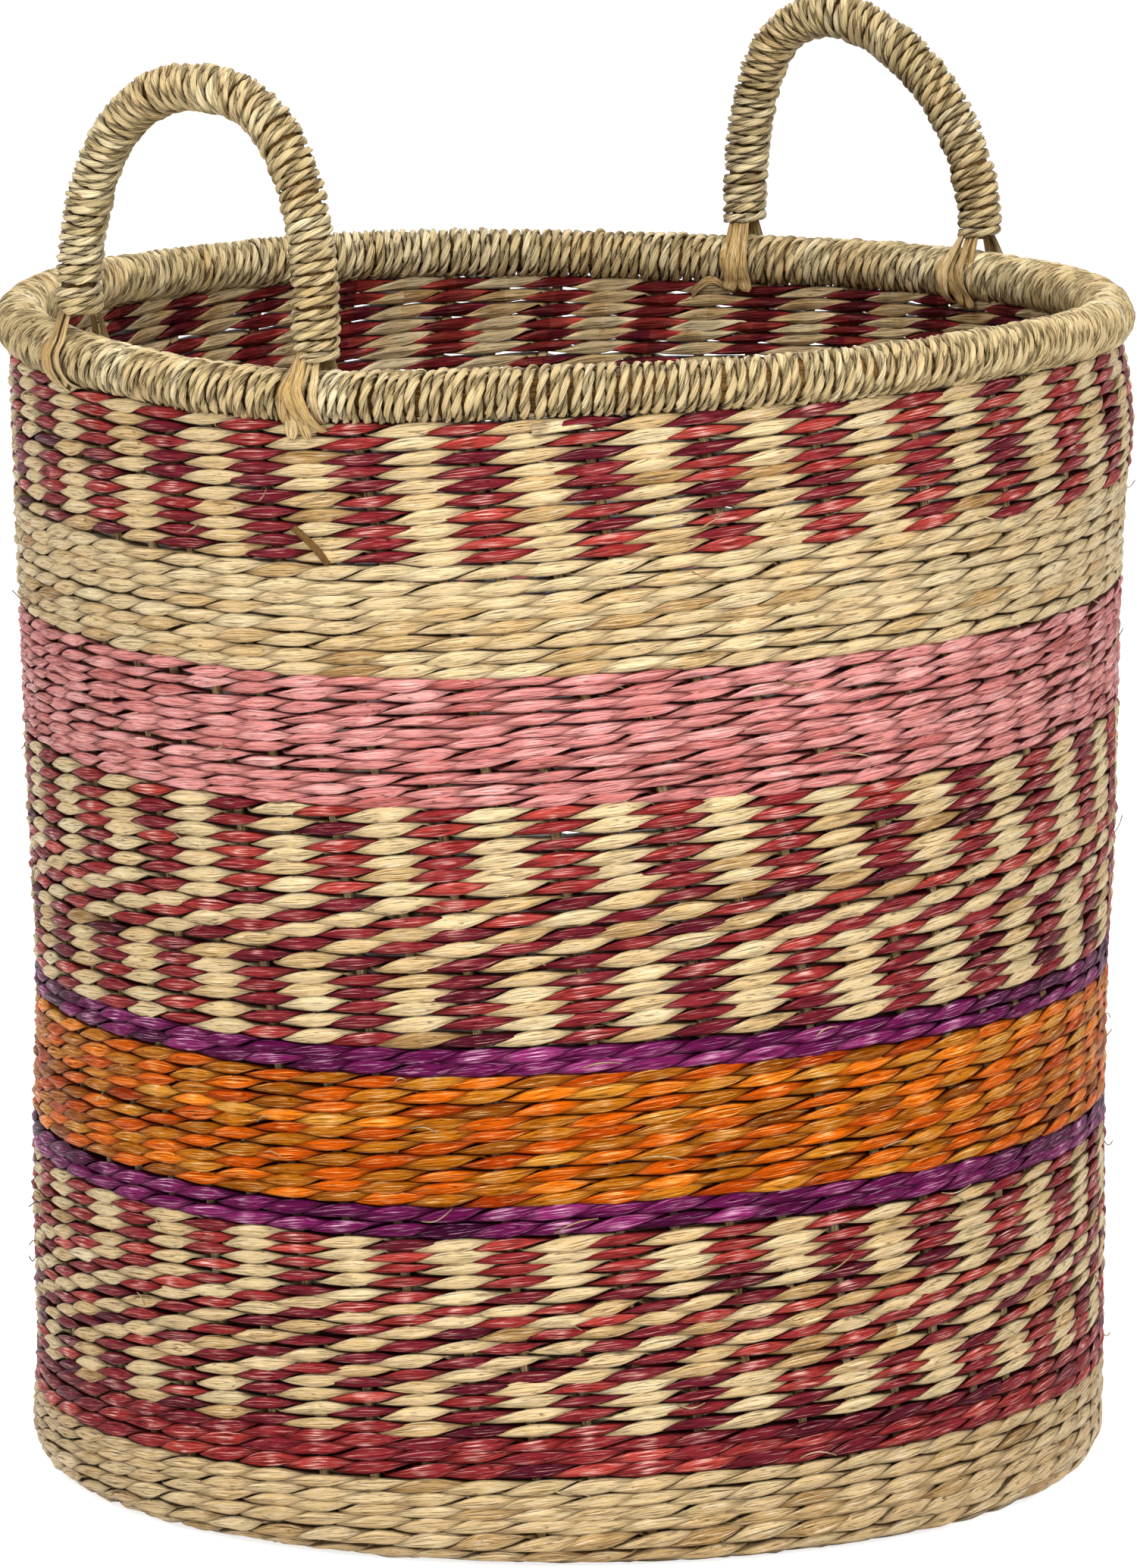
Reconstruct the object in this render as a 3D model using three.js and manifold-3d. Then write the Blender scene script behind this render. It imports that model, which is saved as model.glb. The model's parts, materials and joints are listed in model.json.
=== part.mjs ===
// Round storage basket of woven seagrass with two loop handles.
// Millimetres, +Z up. The origin is on the floor under the middle of the base, and the handles stand
// at the left (-X) and right (+X) of the mouth. Upright stakes, bent up out of the base, carry bands of
// woven strands of different colours. A bound hoop closes the wall, and two bound arches are lashed to it.
import * as THREE from 'three';
import { mergeVertices } from 'three/addons/utils/BufferGeometryUtils.js';
import Module from 'manifold-3d';

const wasm = await Module();
wasm.setup();

// Wall and base
const FOOT_RADIUS = 178; // outside of the wall just above the floor
const WALL_FLARE = 6.7; // how much wider the wall is at its top than at its foot
const WALL_THICKNESS = 8.4;
const FOOT_FLAT_WIDTH = 5.5; // of the first band's level part, between its corner and the base
const CLEARANCE = 0.3; // between pieces that touch on the real basket
const CUT_OVERRUN = 1; // how far a cut runs past the face that it opens

// Stakes
const STAKE_PAIRS = 31;
const STAKE_WIDTH = 4;
const STAKE_THICKNESS = 3.4;
const STAKE_BEND_RADIUS = 8; // of a stake's middle, where it turns up out of the base
const HUB_MARGIN = 4; // how far the hub reaches past where the stakes' sides meet

// Heights of the woven bands, from the floor to the mouth
const NATURAL_FOOT_HEIGHT = 30;
const DARK_RED_HEIGHT = 13.9;
const CHECKS_LOWER_HEIGHT = 66.9;
const PURPLE_LOWER_HEIGHT = 9.6;
const ORANGE_HEIGHT = 42.6;
const PURPLE_UPPER_HEIGHT = 9.4;
const CHECKS_MIDDLE_HEIGHT = 77.1;
const PINK_HEIGHT = 40.5;
const NATURAL_HEIGHT = 37;
const CHECKS_TOP_HEIGHT = 43.2;

// Crossings where a band's outer and inner strands join between two stakes
const CROSSING_COUNT = 4;
const CROSSING_WIDTH = 6;
const BASE_CROSSING_LENGTH = 16;
const BASE_CROSSING_INSET = 22; // from the base's edge to the crossing's near end

// Rim
const RIM_RADIUS = 8.25; // of the bound hoop's round section
const RIM_BINDING_THICKNESS = 2.6;
const RIM_STEPS = 6; // flats round the rim's section
const HOOP_SIDES = 5;

// Handles. The two are bent by hand, so each has its own arch
const LEFT_SPAN = 106.6; // between the arch's feet
const RIGHT_SPAN = 96;
const LEFT_RISE = 74.5; // from the tilt axis to the middle of the arch's top
const RIGHT_RISE = 70.5;
const LEFT_SQUARENESS = 2.35; // 2 is an ellipse, more is squarer
const RIGHT_SQUARENESS = 2.05;
const LEFT_LEAN = -3.6; // how far the arch's top leans towards its back foot
const RIGHT_LEAN = 13;
const LEFT_TURN = 3.3; // degrees that the handle stands round from the mouth's side towards the back
const RIGHT_TURN = 5.1;
const HANDLE_CORE_RADIUS = 3.7;
const NECK_RADIUS = 2.5; // of the bare strands under each end of an arch
const NECK_LENGTH = 1.5; // from the tilt axis to the binding's first turn

// Handle binding, one strand wound round each core
const BINDING_TURNS = 24;
const BINDING_HALF_THICKNESS = 1.5;
const BINDING_CLEARANCE = 0.6; // round the core, as the gap closes at the arch's bends
const BINDING_COVER = 0.7; // share of each turn's length along the handle that the strand covers
const STEPS_PER_TURN = 8;
const BINDING_SIDES = 5;

// Lashings, one flat strand tied round the rim under each end of an arch
const LASHING_WIDTH = 6.4;
const LASHING_THICKNESS = 1.4;
const LASHING_SIDES = 12;

// Colours and finish, read from the basket
const STRAW = 0xd2b483;
const GREEN_STRAW = 0xbba577;
const STRAW_AND_RED = 0xb08060;
const DARK_RED = 0x8c2d32;
const PINK = 0xcd787d;
const PURPLE = 0x731e6e;
const ORANGE = 0xdc6e14;

function straw(color) {
  return new THREE.MeshStandardMaterial({ color, roughness: 0.62, metalness: 0 });
}

const basket = new THREE.Group();

function addPiece(name, geometry, color, parent = basket) {
  const mesh = new THREE.Mesh(geometry, straw(color));
  mesh.name = name;
  parent.add(mesh);
}

// Solids that are cut or joined
function solidFrom(geometry) {
  const bare = new THREE.BufferGeometry();
  bare.setAttribute('position', geometry.getAttribute('position'));
  bare.setIndex(geometry.getIndex());
  const merged = mergeVertices(bare, 1e-4);
  return new wasm.Manifold(new wasm.Mesh({
    numProp: 3,
    vertProperties: new Float32Array(merged.getAttribute('position').array),
    triVerts: new Uint32Array(merged.getIndex().array),
  }));
}

function geometryFrom(solid) {
  const mesh = solid.getMesh();
  const geometry = new THREE.BufferGeometry();
  geometry.setAttribute('position', new THREE.BufferAttribute(new Float32Array(mesh.vertProperties), 3));
  geometry.setIndex(new THREE.BufferAttribute(new Uint32Array(mesh.triVerts), 1));
  geometry.computeVertexNormals();
  return geometry;
}

// A ring about the Z axis. The outline's points are radius and height, anticlockwise, and the
// lathe's first side starts at the angle given.
function ring(outline, sides, startAngle = 0) {
  const points = [...outline, outline[0]].map(([radius, height]) => new THREE.Vector2(radius, height));
  const geometry = new THREE.LatheGeometry(points, sides);
  geometry.rotateX(Math.PI / 2);
  geometry.rotateZ(Math.PI / 2 + startAngle);
  return geometry;
}

function disc(radius, low, high, sides) {
  const geometry = new THREE.CylinderGeometry(radius, radius, high - low, sides);
  geometry.rotateX(Math.PI / 2);
  geometry.rotateZ(Math.PI / 2);
  geometry.translate(0, 0, (low + high) / 2);
  return geometry;
}

// The stakes stand in a channel inside the wall, which is as deep as a stake and its clearances
const stakeCount = 2 * STAKE_PAIRS;
const stakeSpacing = 2 * Math.PI / stakeCount;
const wallSides = stakeCount;
const channelHalf = STAKE_THICKNESS / 2 + CLEARANCE;
const middle = WALL_THICKNESS / 2;
const bendCentreRadius = FOOT_RADIUS - middle - STAKE_BEND_RADIUS;
const bendTop = middle + STAKE_BEND_RADIUS;
const baseRadius = bendCentreRadius - FOOT_FLAT_WIDTH - CLEARANCE;

const bandHeights = [
  DARK_RED_HEIGHT, CHECKS_LOWER_HEIGHT, PURPLE_LOWER_HEIGHT, ORANGE_HEIGHT, PURPLE_UPPER_HEIGHT,
  CHECKS_MIDDLE_HEIGHT, PINK_HEIGHT, NATURAL_HEIGHT, CHECKS_TOP_HEIGHT,
];
const wallTop = bandHeights.reduce((sum, height) => sum + height, NATURAL_FOOT_HEIGHT);

// Radius of the wall at a height, at a depth inwards from its outside
function wallRadius(height, depth) {
  return FOOT_RADIUS - depth + WALL_FLARE * (height - bendTop) / (wallTop - bendTop);
}

// Points round the corner from the base up to the start of the wall, at a depth from the outside
function cornerPoints(depth, steps) {
  const radius = bendTop - depth;
  const points = [];
  for (let step = 0; step <= steps; step += 1) {
    const angle = Math.PI / 2 * step / steps;
    points.push([bendCentreRadius + radius * Math.sin(angle), bendTop - radius * Math.cos(angle)]);
  }
  return points;
}

// The channel has a side for every two stakes. This lets each stake meet it at its true depth.
const channelSides = STAKE_PAIRS;
const channelScale = Math.cos(stakeSpacing / 2) / Math.cos(stakeSpacing);

function channelRing(outline) {
  const scaled = outline.map(([radius, height]) => [radius * channelScale, height]);
  return solidFrom(ring(scaled, channelSides, stakeSpacing / 2));
}

// A round space about the axis, whose sides face the stakes as a channel's do
function innerSpace(outline) {
  return channelRing([[0, outline[0][1]], ...outline, [0, outline[outline.length - 1][1]]]);
}

// Blocks left standing in a channel, each midway between two stakes
function crossings(radius, length, low, high) {
  const blocks = [];
  for (let index = 0; index < CROSSING_COUNT; index += 1) {
    const between = Math.round(index * stakeCount / CROSSING_COUNT) + 0.5;
    const block = new THREE.BoxGeometry(length, CROSSING_WIDTH, high - low);
    block.translate(radius, 0, (low + high) / 2);
    block.rotateZ(between * stakeSpacing);
    blocks.push(solidFrom(block));
  }
  return wasm.Manifold.union(blocks);
}

// A band of the wall, open above and below for the stakes
function wallBand(low, high) {
  const under = low - CUT_OVERRUN;
  const over = high + CUT_OVERRUN;
  const body = solidFrom(ring([
    [0, low],
    [wallRadius(low, 0), low],
    [wallRadius(high, 0), high],
    [0, high],
  ], wallSides));
  const inside = innerSpace([
    [wallRadius(under, WALL_THICKNESS), under],
    [wallRadius(over, WALL_THICKNESS), over],
  ]);
  const channel = channelRing([
    [wallRadius(under, middle - channelHalf), under],
    [wallRadius(over, middle - channelHalf), over],
    [wallRadius(over, middle + channelHalf), over],
    [wallRadius(under, middle + channelHalf), under],
  ]);
  const kept = crossings(wallRadius((low + high) / 2, middle), WALL_THICKNESS, under, over);
  return body.subtract(inside).subtract(channel.subtract(kept));
}

// The first band turns the corner from the base into the wall
function footBand(high) {
  const start = baseRadius + CLEARANCE;
  const over = high + CUT_OVERRUN;
  const body = solidFrom(ring([
    [start, 0],
    ...cornerPoints(0, 3),
    [wallRadius(high, 0), high],
    [start, high],
  ], wallSides));
  const inside = innerSpace([
    ...cornerPoints(WALL_THICKNESS, 1),
    [wallRadius(over, WALL_THICKNESS), over],
  ]);
  const outer = middle - channelHalf;
  const inner = middle + channelHalf;
  const channel = channelRing([
    [start - CUT_OVERRUN, outer],
    ...cornerPoints(outer, 1),
    [wallRadius(over, outer), over],
    [wallRadius(over, inner), over],
    ...cornerPoints(inner, 1).reverse(),
    [start - CUT_OVERRUN, inner],
  ]);
  const kept = crossings(wallRadius((bendTop + high) / 2, middle), WALL_THICKNESS, bendTop, over);
  return body.subtract(inside).subtract(channel.subtract(kept));
}

// The base is a disc whose channel holds the stakes' lower ends
function baseDisc() {
  const body = solidFrom(disc(baseRadius, 0, WALL_THICKNESS, wallSides));
  const low = middle - channelHalf;
  const high = middle + channelHalf;
  const channel = solidFrom(disc(baseRadius + CUT_OVERRUN, low, high, channelSides));
  const crossingRadius = baseRadius - BASE_CROSSING_INSET - BASE_CROSSING_LENGTH / 2;
  const kept = crossings(crossingRadius, BASE_CROSSING_LENGTH, low - CUT_OVERRUN, high + CUT_OVERRUN);
  return body.subtract(channel.subtract(kept));
}

// Rim: the stakes' heads end inside its binding, just under the hoop
const lashingInner = (RIM_RADIUS + CLEARANCE + FOOT_RADIUS * (1 - Math.cos(stakeSpacing / 2)))
  / Math.cos(Math.PI / LASHING_SIDES);
const lashingOuter = lashingInner + LASHING_THICKNESS;
const rimHeight = wallTop + CLEARANCE + lashingOuter;
const rimCentreRadius = wallRadius(rimHeight, middle);
const cavityRadius = RIM_RADIUS - RIM_BINDING_THICKNESS;
const cavityEdge = Math.asin(channelHalf / cavityRadius);
const hoopRadius = cavityRadius * Math.cos((Math.PI - cavityEdge) / RIM_STEPS) - CLEARANCE;
const stakeTop = rimHeight - hoopRadius - CLEARANCE;

function arc(radius, from, to, steps) {
  const points = [];
  for (let step = 0; step <= steps; step += 1) {
    const angle = from + (to - from) * step / steps;
    points.push([rimCentreRadius + radius * Math.cos(angle), rimHeight + radius * Math.sin(angle)]);
  }
  return points;
}

function rimBinding() {
  const down = -Math.PI / 2;
  const outerEdge = Math.asin(channelHalf / RIM_RADIUS);
  return ring([
    ...arc(RIM_RADIUS, down + outerEdge, down + 2 * Math.PI - outerEdge, RIM_STEPS),
    ...arc(cavityRadius, down + 2 * Math.PI - cavityEdge, down + cavityEdge, RIM_STEPS),
  ], wallSides);
}

function rimHoop() {
  const top = Math.PI / 2;
  const lastSide = 2 * Math.PI / HOOP_SIDES;
  return ring(arc(hoopRadius, top, top + 2 * Math.PI - lastSide, HOOP_SIDES - 1), wallSides);
}

// All stakes with the hub where they cross, one piece as they are interwoven there
function stakes() {
  const halfThickness = STAKE_THICKNESS / 2;
  const outer = middle - halfThickness;
  const inner = middle + halfThickness;
  const hubRadius = stakeCount * STAKE_WIDTH / (2 * Math.PI) + HUB_MARGIN;
  const start = hubRadius - STAKE_WIDTH;
  const outline = [
    [start, outer],
    ...cornerPoints(outer, 1),
    [wallRadius(stakeTop, outer), stakeTop],
    [wallRadius(stakeTop, inner), stakeTop],
    ...cornerPoints(inner, 1).reverse(),
    [start, inner],
  ];
  const shape = new THREE.Shape(outline.map(([radius, height]) => new THREE.Vector2(radius, height)));
  const pieces = [solidFrom(disc(hubRadius, outer, inner, wallSides))];
  for (let index = 0; index < stakeCount; index += 1) {
    const stake = new THREE.ExtrudeGeometry(shape, { depth: STAKE_WIDTH, bevelEnabled: false });
    stake.translate(0, 0, -STAKE_WIDTH / 2);
    stake.rotateX(Math.PI / 2);
    stake.rotateZ(index * stakeSpacing);
    pieces.push(solidFrom(stake));
  }
  return wasm.Manifold.union(pieces);
}

// A closed tube through rings of points, with flat ends
function tubeThrough(rings) {
  const sides = rings[0].length;
  const positions = rings.flat().flatMap((point) => [point.x, point.y, point.z]);
  const index = [];
  for (let row = 0; row + 1 < rings.length; row += 1) {
    for (let side = 0; side < sides; side += 1) {
      const a = row * sides + side;
      const b = row * sides + (side + 1) % sides;
      index.push(a, b, b + sides, a, b + sides, a + sides);
    }
  }
  const last = (rings.length - 1) * sides;
  for (let side = 1; side + 1 < sides; side += 1) {
    index.push(0, side + 1, side);
    index.push(last, last + side, last + side + 1);
  }
  const geometry = new THREE.BufferGeometry();
  geometry.setAttribute('position', new THREE.Float32BufferAttribute(positions, 3));
  geometry.setIndex(index);
  geometry.computeVertexNormals();
  return geometry;
}

// Each handle is drawn in its own upright plane: X points outwards, Y runs from foot to foot,
// and the tilt axis passes through both feet
const tiltHeight = rimHeight + lashingOuter + CLEARANCE + NECK_RADIUS;
const coreSides = 6;
const coreSteps = 16;
const coreEndAngles = [-70, -35]; // degrees from the neck's widest ring to the rings of its round end
const SAMPLES = 800;

function archPoint(share, { halfSpread, rise, squareness, lean, backSide }) {
  const angle = Math.PI * share;
  const power = 2 / squareness;
  const across = Math.cos(angle);
  const up = Math.sin(angle) ** power;
  const footOffset = rimCentreRadius * Math.sin(halfSpread);
  return new THREE.Vector3(
    rimCentreRadius * Math.cos(halfSpread),
    -footOffset * Math.sign(across) * Math.abs(across) ** power + backSide * lean * up * up,
    tiltHeight + rise * up,
  );
}

// Lengths along the arch, for placing points at even distances
function measureArch(handle) {
  const points = [];
  const lengths = [0];
  for (let sample = 0; sample <= SAMPLES; sample += 1) {
    points.push(archPoint(sample / SAMPLES, handle));
    if (sample > 0) {
      lengths.push(lengths[sample - 1] + points[sample].distanceTo(points[sample - 1]));
    }
  }
  return { points, lengths, total: lengths[SAMPLES] };
}

// The arch's centre, direction and the two directions across it, at a length from the first foot
function archFrame(arch, length) {
  let sample = 1;
  while (sample < SAMPLES && arch.lengths[sample] < length) {
    sample += 1;
  }
  const from = arch.points[sample - 1];
  const to = arch.points[sample];
  const along = new THREE.Vector3().subVectors(to, from).normalize();
  const step = length - arch.lengths[sample - 1];
  const centre = from.clone().addScaledVector(along, step);
  const outwards = new THREE.Vector3(1, 0, 0);
  const away = new THREE.Vector3().crossVectors(along, outwards);
  return { centre, along, outwards, away };
}

function ringRound({ centre, outwards, away }, radius, sides) {
  const points = [];
  for (let side = 0; side < sides; side += 1) {
    const angle = 2 * Math.PI * side / sides;
    points.push(centre.clone()
      .addScaledVector(outwards, radius * Math.cos(angle))
      .addScaledVector(away, radius * Math.sin(angle)));
  }
  return points;
}

// The core is a bundle with a slim neck and a round end at each foot
function handleCore(arch) {
  const rounds = coreEndAngles.map((degrees) => THREE.MathUtils.degToRad(degrees));
  const ends = [
    ...rounds.map((angle) => [NECK_RADIUS * Math.sin(angle), NECK_RADIUS * Math.cos(angle)]),
    [0, NECK_RADIUS],
    [NECK_LENGTH, NECK_RADIUS],
  ];
  const shoulder = NECK_LENGTH + HANDLE_CORE_RADIUS - NECK_RADIUS;
  const rows = [...ends];
  for (let step = 0; step <= coreSteps; step += 1) {
    rows.push([shoulder + (arch.total - 2 * shoulder) * step / coreSteps, HANDLE_CORE_RADIUS]);
  }
  rows.push(...ends.map(([length, radius]) => [arch.total - length, radius]).reverse());
  return tubeThrough(rows.map(([length, radius]) => ringRound(archFrame(arch, length), radius, coreSides)));
}

// Rings of the binding's strand. It winds round the core, and each end runs straight for one strand
function bindingRings(arch) {
  const pitch = (arch.total - 2 * NECK_LENGTH) / (BINDING_TURNS + BINDING_COVER);
  const halfWidth = BINDING_COVER * pitch / 2;
  const start = NECK_LENGTH + halfWidth;
  const wound = arch.total - 2 * start;
  const innerFace = HANDLE_CORE_RADIUS + BINDING_CLEARANCE;
  const innerCorner = BINDING_HALF_THICKNESS * Math.cos(Math.PI / BINDING_SIDES);
  const middleRadius = (innerFace + innerCorner) / Math.cos(Math.PI / STEPS_PER_TURN);
  const steps = BINDING_TURNS * STEPS_PER_TURN;
  const rings = [];
  for (let step = 0; step <= steps; step += 1) {
    const frame = archFrame(arch, start + wound * step / steps);
    const turn = 2 * Math.PI * step / STEPS_PER_TURN;
    const out = frame.outwards.clone().multiplyScalar(Math.cos(turn))
      .addScaledVector(frame.away, Math.sin(turn));
    const centre = frame.centre.clone().addScaledVector(out, middleRadius);
    const ringPoints = [];
    for (let side = 0; side < BINDING_SIDES; side += 1) {
      const angle = 2 * Math.PI * side / BINDING_SIDES;
      ringPoints.push(centre.clone()
        .addScaledVector(out, BINDING_HALF_THICKNESS * Math.cos(angle))
        .addScaledVector(frame.along, -halfWidth * Math.sin(angle)));
    }
    rings.push(ringPoints);
  }
  const straight = (ringPoints, next) => ringPoints.map((point) => {
    const direction = new THREE.Vector3().subVectors(ringPoints[0], next[0]).normalize();
    return point.clone().addScaledVector(direction, 2 * BINDING_HALF_THICKNESS);
  });
  rings.unshift(straight(rings[0], rings[1]));
  rings.push(straight(rings[rings.length - 1], rings[rings.length - 2]));
  return rings;
}

// Least distance between points of the strand that are at least half a turn apart
function leastGap(rings) {
  let least = Infinity;
  const apart = STEPS_PER_TURN / 2;
  rings.forEach((ringPoints, row) => {
    rings.slice(row + apart, row + 2 * STEPS_PER_TURN).forEach((other) => {
      ringPoints.forEach((point) => {
        other.forEach((far) => {
          least = Math.min(least, point.distanceTo(far));
        });
      });
    });
  });
  return least;
}

// A lashing passes between two stakes, as near its foot as they allow
function lashingAngle(footAngle) {
  const between = (Math.floor(footAngle / stakeSpacing) + 0.5) * stakeSpacing;
  const room = stakeSpacing / 2 - (STAKE_WIDTH / 2 + LASHING_WIDTH / 2 + CLEARANCE) / rimCentreRadius;
  return THREE.MathUtils.clamp(footAngle, between - room, between + room);
}

// A loop round the rim at one foot of a handle
function lashing(angle) {
  const geometry = ring([
    [lashingInner, -LASHING_WIDTH / 2],
    [lashingOuter, -LASHING_WIDTH / 2],
    [lashingOuter, LASHING_WIDTH / 2],
    [lashingInner, LASHING_WIDTH / 2],
  ], LASHING_SIDES);
  geometry.rotateX(Math.PI / 2);
  geometry.translate(rimCentreRadius, 0, rimHeight);
  geometry.rotateZ(angle);
  return geometry;
}

// Base and wall, from the floor up
addPiece('stakes', geometryFrom(stakes()), STRAW);
addPiece('base', geometryFrom(baseDisc()), STRAW);
const footTop = NATURAL_FOOT_HEIGHT - CLEARANCE;
addPiece('natural_foot_band', geometryFrom(footBand(footTop)), STRAW);

const bandNames = [
  ['dark_red_band', DARK_RED], ['checks_lower_band', STRAW_AND_RED], ['purple_lower_band', PURPLE],
  ['orange_band', ORANGE], ['purple_upper_band', PURPLE], ['checks_middle_band', STRAW_AND_RED],
  ['pink_band', PINK], ['natural_band', STRAW], ['checks_top_band', STRAW_AND_RED],
];
let floor = NATURAL_FOOT_HEIGHT;
bandNames.forEach(([name, color], index) => {
  const ceiling = floor + bandHeights[index];
  addPiece(name, geometryFrom(wallBand(floor, ceiling - CLEARANCE)), color);
  floor = ceiling;
});

addPiece('rim_hoop', rimHoop(), STRAW);
addPiece('rim_binding', rimBinding(), GREEN_STRAW);

// Handles and their lashings
const handles = [
  {
    side: 'left',
    turn: Math.PI - THREE.MathUtils.degToRad(LEFT_TURN),
    backSide: -1,
    halfSpread: Math.asin(LEFT_SPAN / 2 / rimCentreRadius),
    rise: LEFT_RISE,
    squareness: LEFT_SQUARENESS,
    lean: LEFT_LEAN,
  },
  {
    side: 'right',
    turn: THREE.MathUtils.degToRad(RIGHT_TURN),
    backSide: 1,
    halfSpread: Math.asin(RIGHT_SPAN / 2 / rimCentreRadius),
    rise: RIGHT_RISE,
    squareness: RIGHT_SQUARENESS,
    lean: RIGHT_LEAN,
  },
];
handles.forEach((handle) => {
  const { side, turn, backSide, halfSpread } = handle;
  const place = new THREE.Group();
  place.rotation.z = turn;
  basket.add(place);
  const arch = measureArch(handle);
  const rings = bindingRings(arch);
  addPiece(`handle_${side}_core`, handleCore(arch), STRAW, place);
  addPiece(`handle_${side}_binding`, tubeThrough(rings), GREEN_STRAW, place);
  addPiece(`lashing_${side}_back`, lashing(lashingAngle(turn + backSide * halfSpread)), STRAW);
  addPiece(`lashing_${side}_front`, lashing(lashingAngle(turn - backSide * halfSpread)), STRAW);
  const axis = arch.points[0].clone().setY(0).applyAxisAngle(new THREE.Vector3(0, 0, 1), turn);
  console.log(`handle_${side}: tilt axis through ${axis.toArray().map((value) => value.toFixed(3))}`);
  console.log(`handle_${side}_binding: least gap to itself ${leastGap(rings).toFixed(2)} mm`);
});

export default basket;
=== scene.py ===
import json
import math

import bmesh
import bpy
import numpy as np
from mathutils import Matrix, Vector


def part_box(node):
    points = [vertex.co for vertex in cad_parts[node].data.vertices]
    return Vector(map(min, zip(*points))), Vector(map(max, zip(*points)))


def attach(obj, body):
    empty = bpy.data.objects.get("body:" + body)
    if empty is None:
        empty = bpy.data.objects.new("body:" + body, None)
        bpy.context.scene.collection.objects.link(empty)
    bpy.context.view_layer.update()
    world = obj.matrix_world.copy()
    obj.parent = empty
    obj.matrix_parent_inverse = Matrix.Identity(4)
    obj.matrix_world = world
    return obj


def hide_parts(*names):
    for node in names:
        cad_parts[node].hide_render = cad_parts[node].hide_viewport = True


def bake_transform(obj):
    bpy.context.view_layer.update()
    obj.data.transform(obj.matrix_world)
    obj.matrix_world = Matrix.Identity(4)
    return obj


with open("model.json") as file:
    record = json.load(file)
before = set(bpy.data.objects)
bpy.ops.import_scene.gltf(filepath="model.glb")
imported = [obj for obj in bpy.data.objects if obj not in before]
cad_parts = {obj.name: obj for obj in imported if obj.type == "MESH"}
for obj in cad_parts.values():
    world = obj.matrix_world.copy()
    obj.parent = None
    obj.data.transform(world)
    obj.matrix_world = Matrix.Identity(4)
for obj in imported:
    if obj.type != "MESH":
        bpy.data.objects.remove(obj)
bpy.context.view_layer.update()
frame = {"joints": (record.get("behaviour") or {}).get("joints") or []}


# Camera. It stands a little above the rim, 40 degrees round from the middle between the handles,
# far enough away that the basket shows almost without perspective.
CAMERA_TARGET = Vector((0, 0, 0.219))
CAMERA_DISTANCE = 3.505
CAMERA_ELEVATION = math.radians(9.74)
CAMERA_PLAN_ANGLE = math.radians(-140)
IMAGE_WIDTH = 1500
IMAGE_HEIGHT = 2068
FOCAL_LENGTH_PIXELS = 13946
TARGET_PIXEL = (752, 1054)
SENSOR_HEIGHT = 36


def face_basket(name, data, plan_angle, elevation, distance):
    """A camera or lamp that faces the middle of the basket, at angles in radians."""
    level = math.cos(elevation)
    towards = Vector((level * math.cos(plan_angle), level * math.sin(plan_angle), math.sin(elevation)))
    facing = bpy.data.objects.new(name, data)
    facing.location = CAMERA_TARGET + distance * towards
    facing.rotation_euler = towards.to_track_quat("Z", "Y").to_euler()
    bpy.context.scene.collection.objects.link(facing)
    return facing


camera_data = bpy.data.cameras.new("camera")
camera_data.sensor_fit = "VERTICAL"
camera_data.sensor_height = SENSOR_HEIGHT
camera_data.lens = FOCAL_LENGTH_PIXELS / IMAGE_HEIGHT * SENSOR_HEIGHT
camera_data.shift_x = (IMAGE_WIDTH / 2 - TARGET_PIXEL[0]) / IMAGE_HEIGHT
camera_data.shift_y = (TARGET_PIXEL[1] - IMAGE_HEIGHT / 2) / IMAGE_HEIGHT
camera = face_basket("camera", camera_data, CAMERA_PLAN_ANGLE, CAMERA_ELEVATION, CAMERA_DISTANCE)
bpy.context.scene.camera = camera
bpy.context.scene.view_settings.view_transform = "Standard"


# Stakes. Sixty-two upright strands of natural seagrass stand in the middle of the wall. They run out
# under the base, turn up at its edge and lean to one side on their way up, as the twining pulls them.
STAKES = 62
STAKE_SPACING = 2 * math.pi / STAKES
STAKE_HALF_WIDTH = 0.0018
STAKE_HALF_THICKNESS = 0.0013
STAKE_STEPS = 60
STAKE_SIDES = 8
FACE_FLATNESS = 0.45  # of a strand's section: 1 is round, and less is flatter
EDGE_ANGLE = math.radians(34)  # a bend sharper than this is shaded as an edge
BEND_RADIUS = 0.008  # of a stake's middle, where it turns up out of the base
LEAN_AT_TOP = math.radians(0.4)
LEAN_PER_METRE = math.radians(79)  # how fast the stakes go round the wall, just under the rim
LEAN_EASING = math.radians(70.5)  # how much of that lean is lost further down, per square metre
ROW_SLOPE = 0.0245  # the woven rows rise towards the right of the view
SLOPE_FADE = 0.043  # the height below the rim over which the rows level out
ROW_SAG = 0.0024  # how far the rows hang down at the front left, above the wall's foot
ROW_SAG_GROWTH = 0.0016  # how much further they hang, for each metre up the wall
ROW_SAG_RISE = 0.05  # where they begin to, and the height over which they come to it
ROW_SAG_PLACE = (-25, 28)  # the middle of that stretch and half its width, as swell takes them
BOW = 0.0012  # the wall's side is drawn in by this much, half way up
DRAWN_IN = 0.0026  # how far the left side is pressed in, below its middle
DRAWN_IN_RISE = 0.155
DRAWN_IN_HALF_HEIGHT = 0.055
DRAWN_IN_PLACE = (-92, 45)
FOOT_BULGE = 0.003  # how much fuller the lower corner is at the front left
FOOT_BULGE_HEIGHT = 0.04
FOOT_BULGE_PLACE = (-55, 40)
FLOOR_CLEARANCE = 0.0002
TOP_REACH = 0.0026  # how far the top row reaches up under the rim
RIM_SAGS = [(-0.0054, -34, 31), (0.0028, 55, 35), (-0.0018, 160, 20)]  # heights, middles and half widths
RIM_PULL = 0.0036  # how far the rim is pulled in at the right of the view
RIM_PULL_PLACE = (92, 34)
SHOULDER_RISE = 0.022  # the wall stands out under that pull, this far above the upper checks' foot
SHOULDER_HALF_HEIGHT = 0.02
SHOULDER_SHARE = 0.5  # of the pull
HAND_STRAY = 0.0007  # how far the wall strays from a true round
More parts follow.
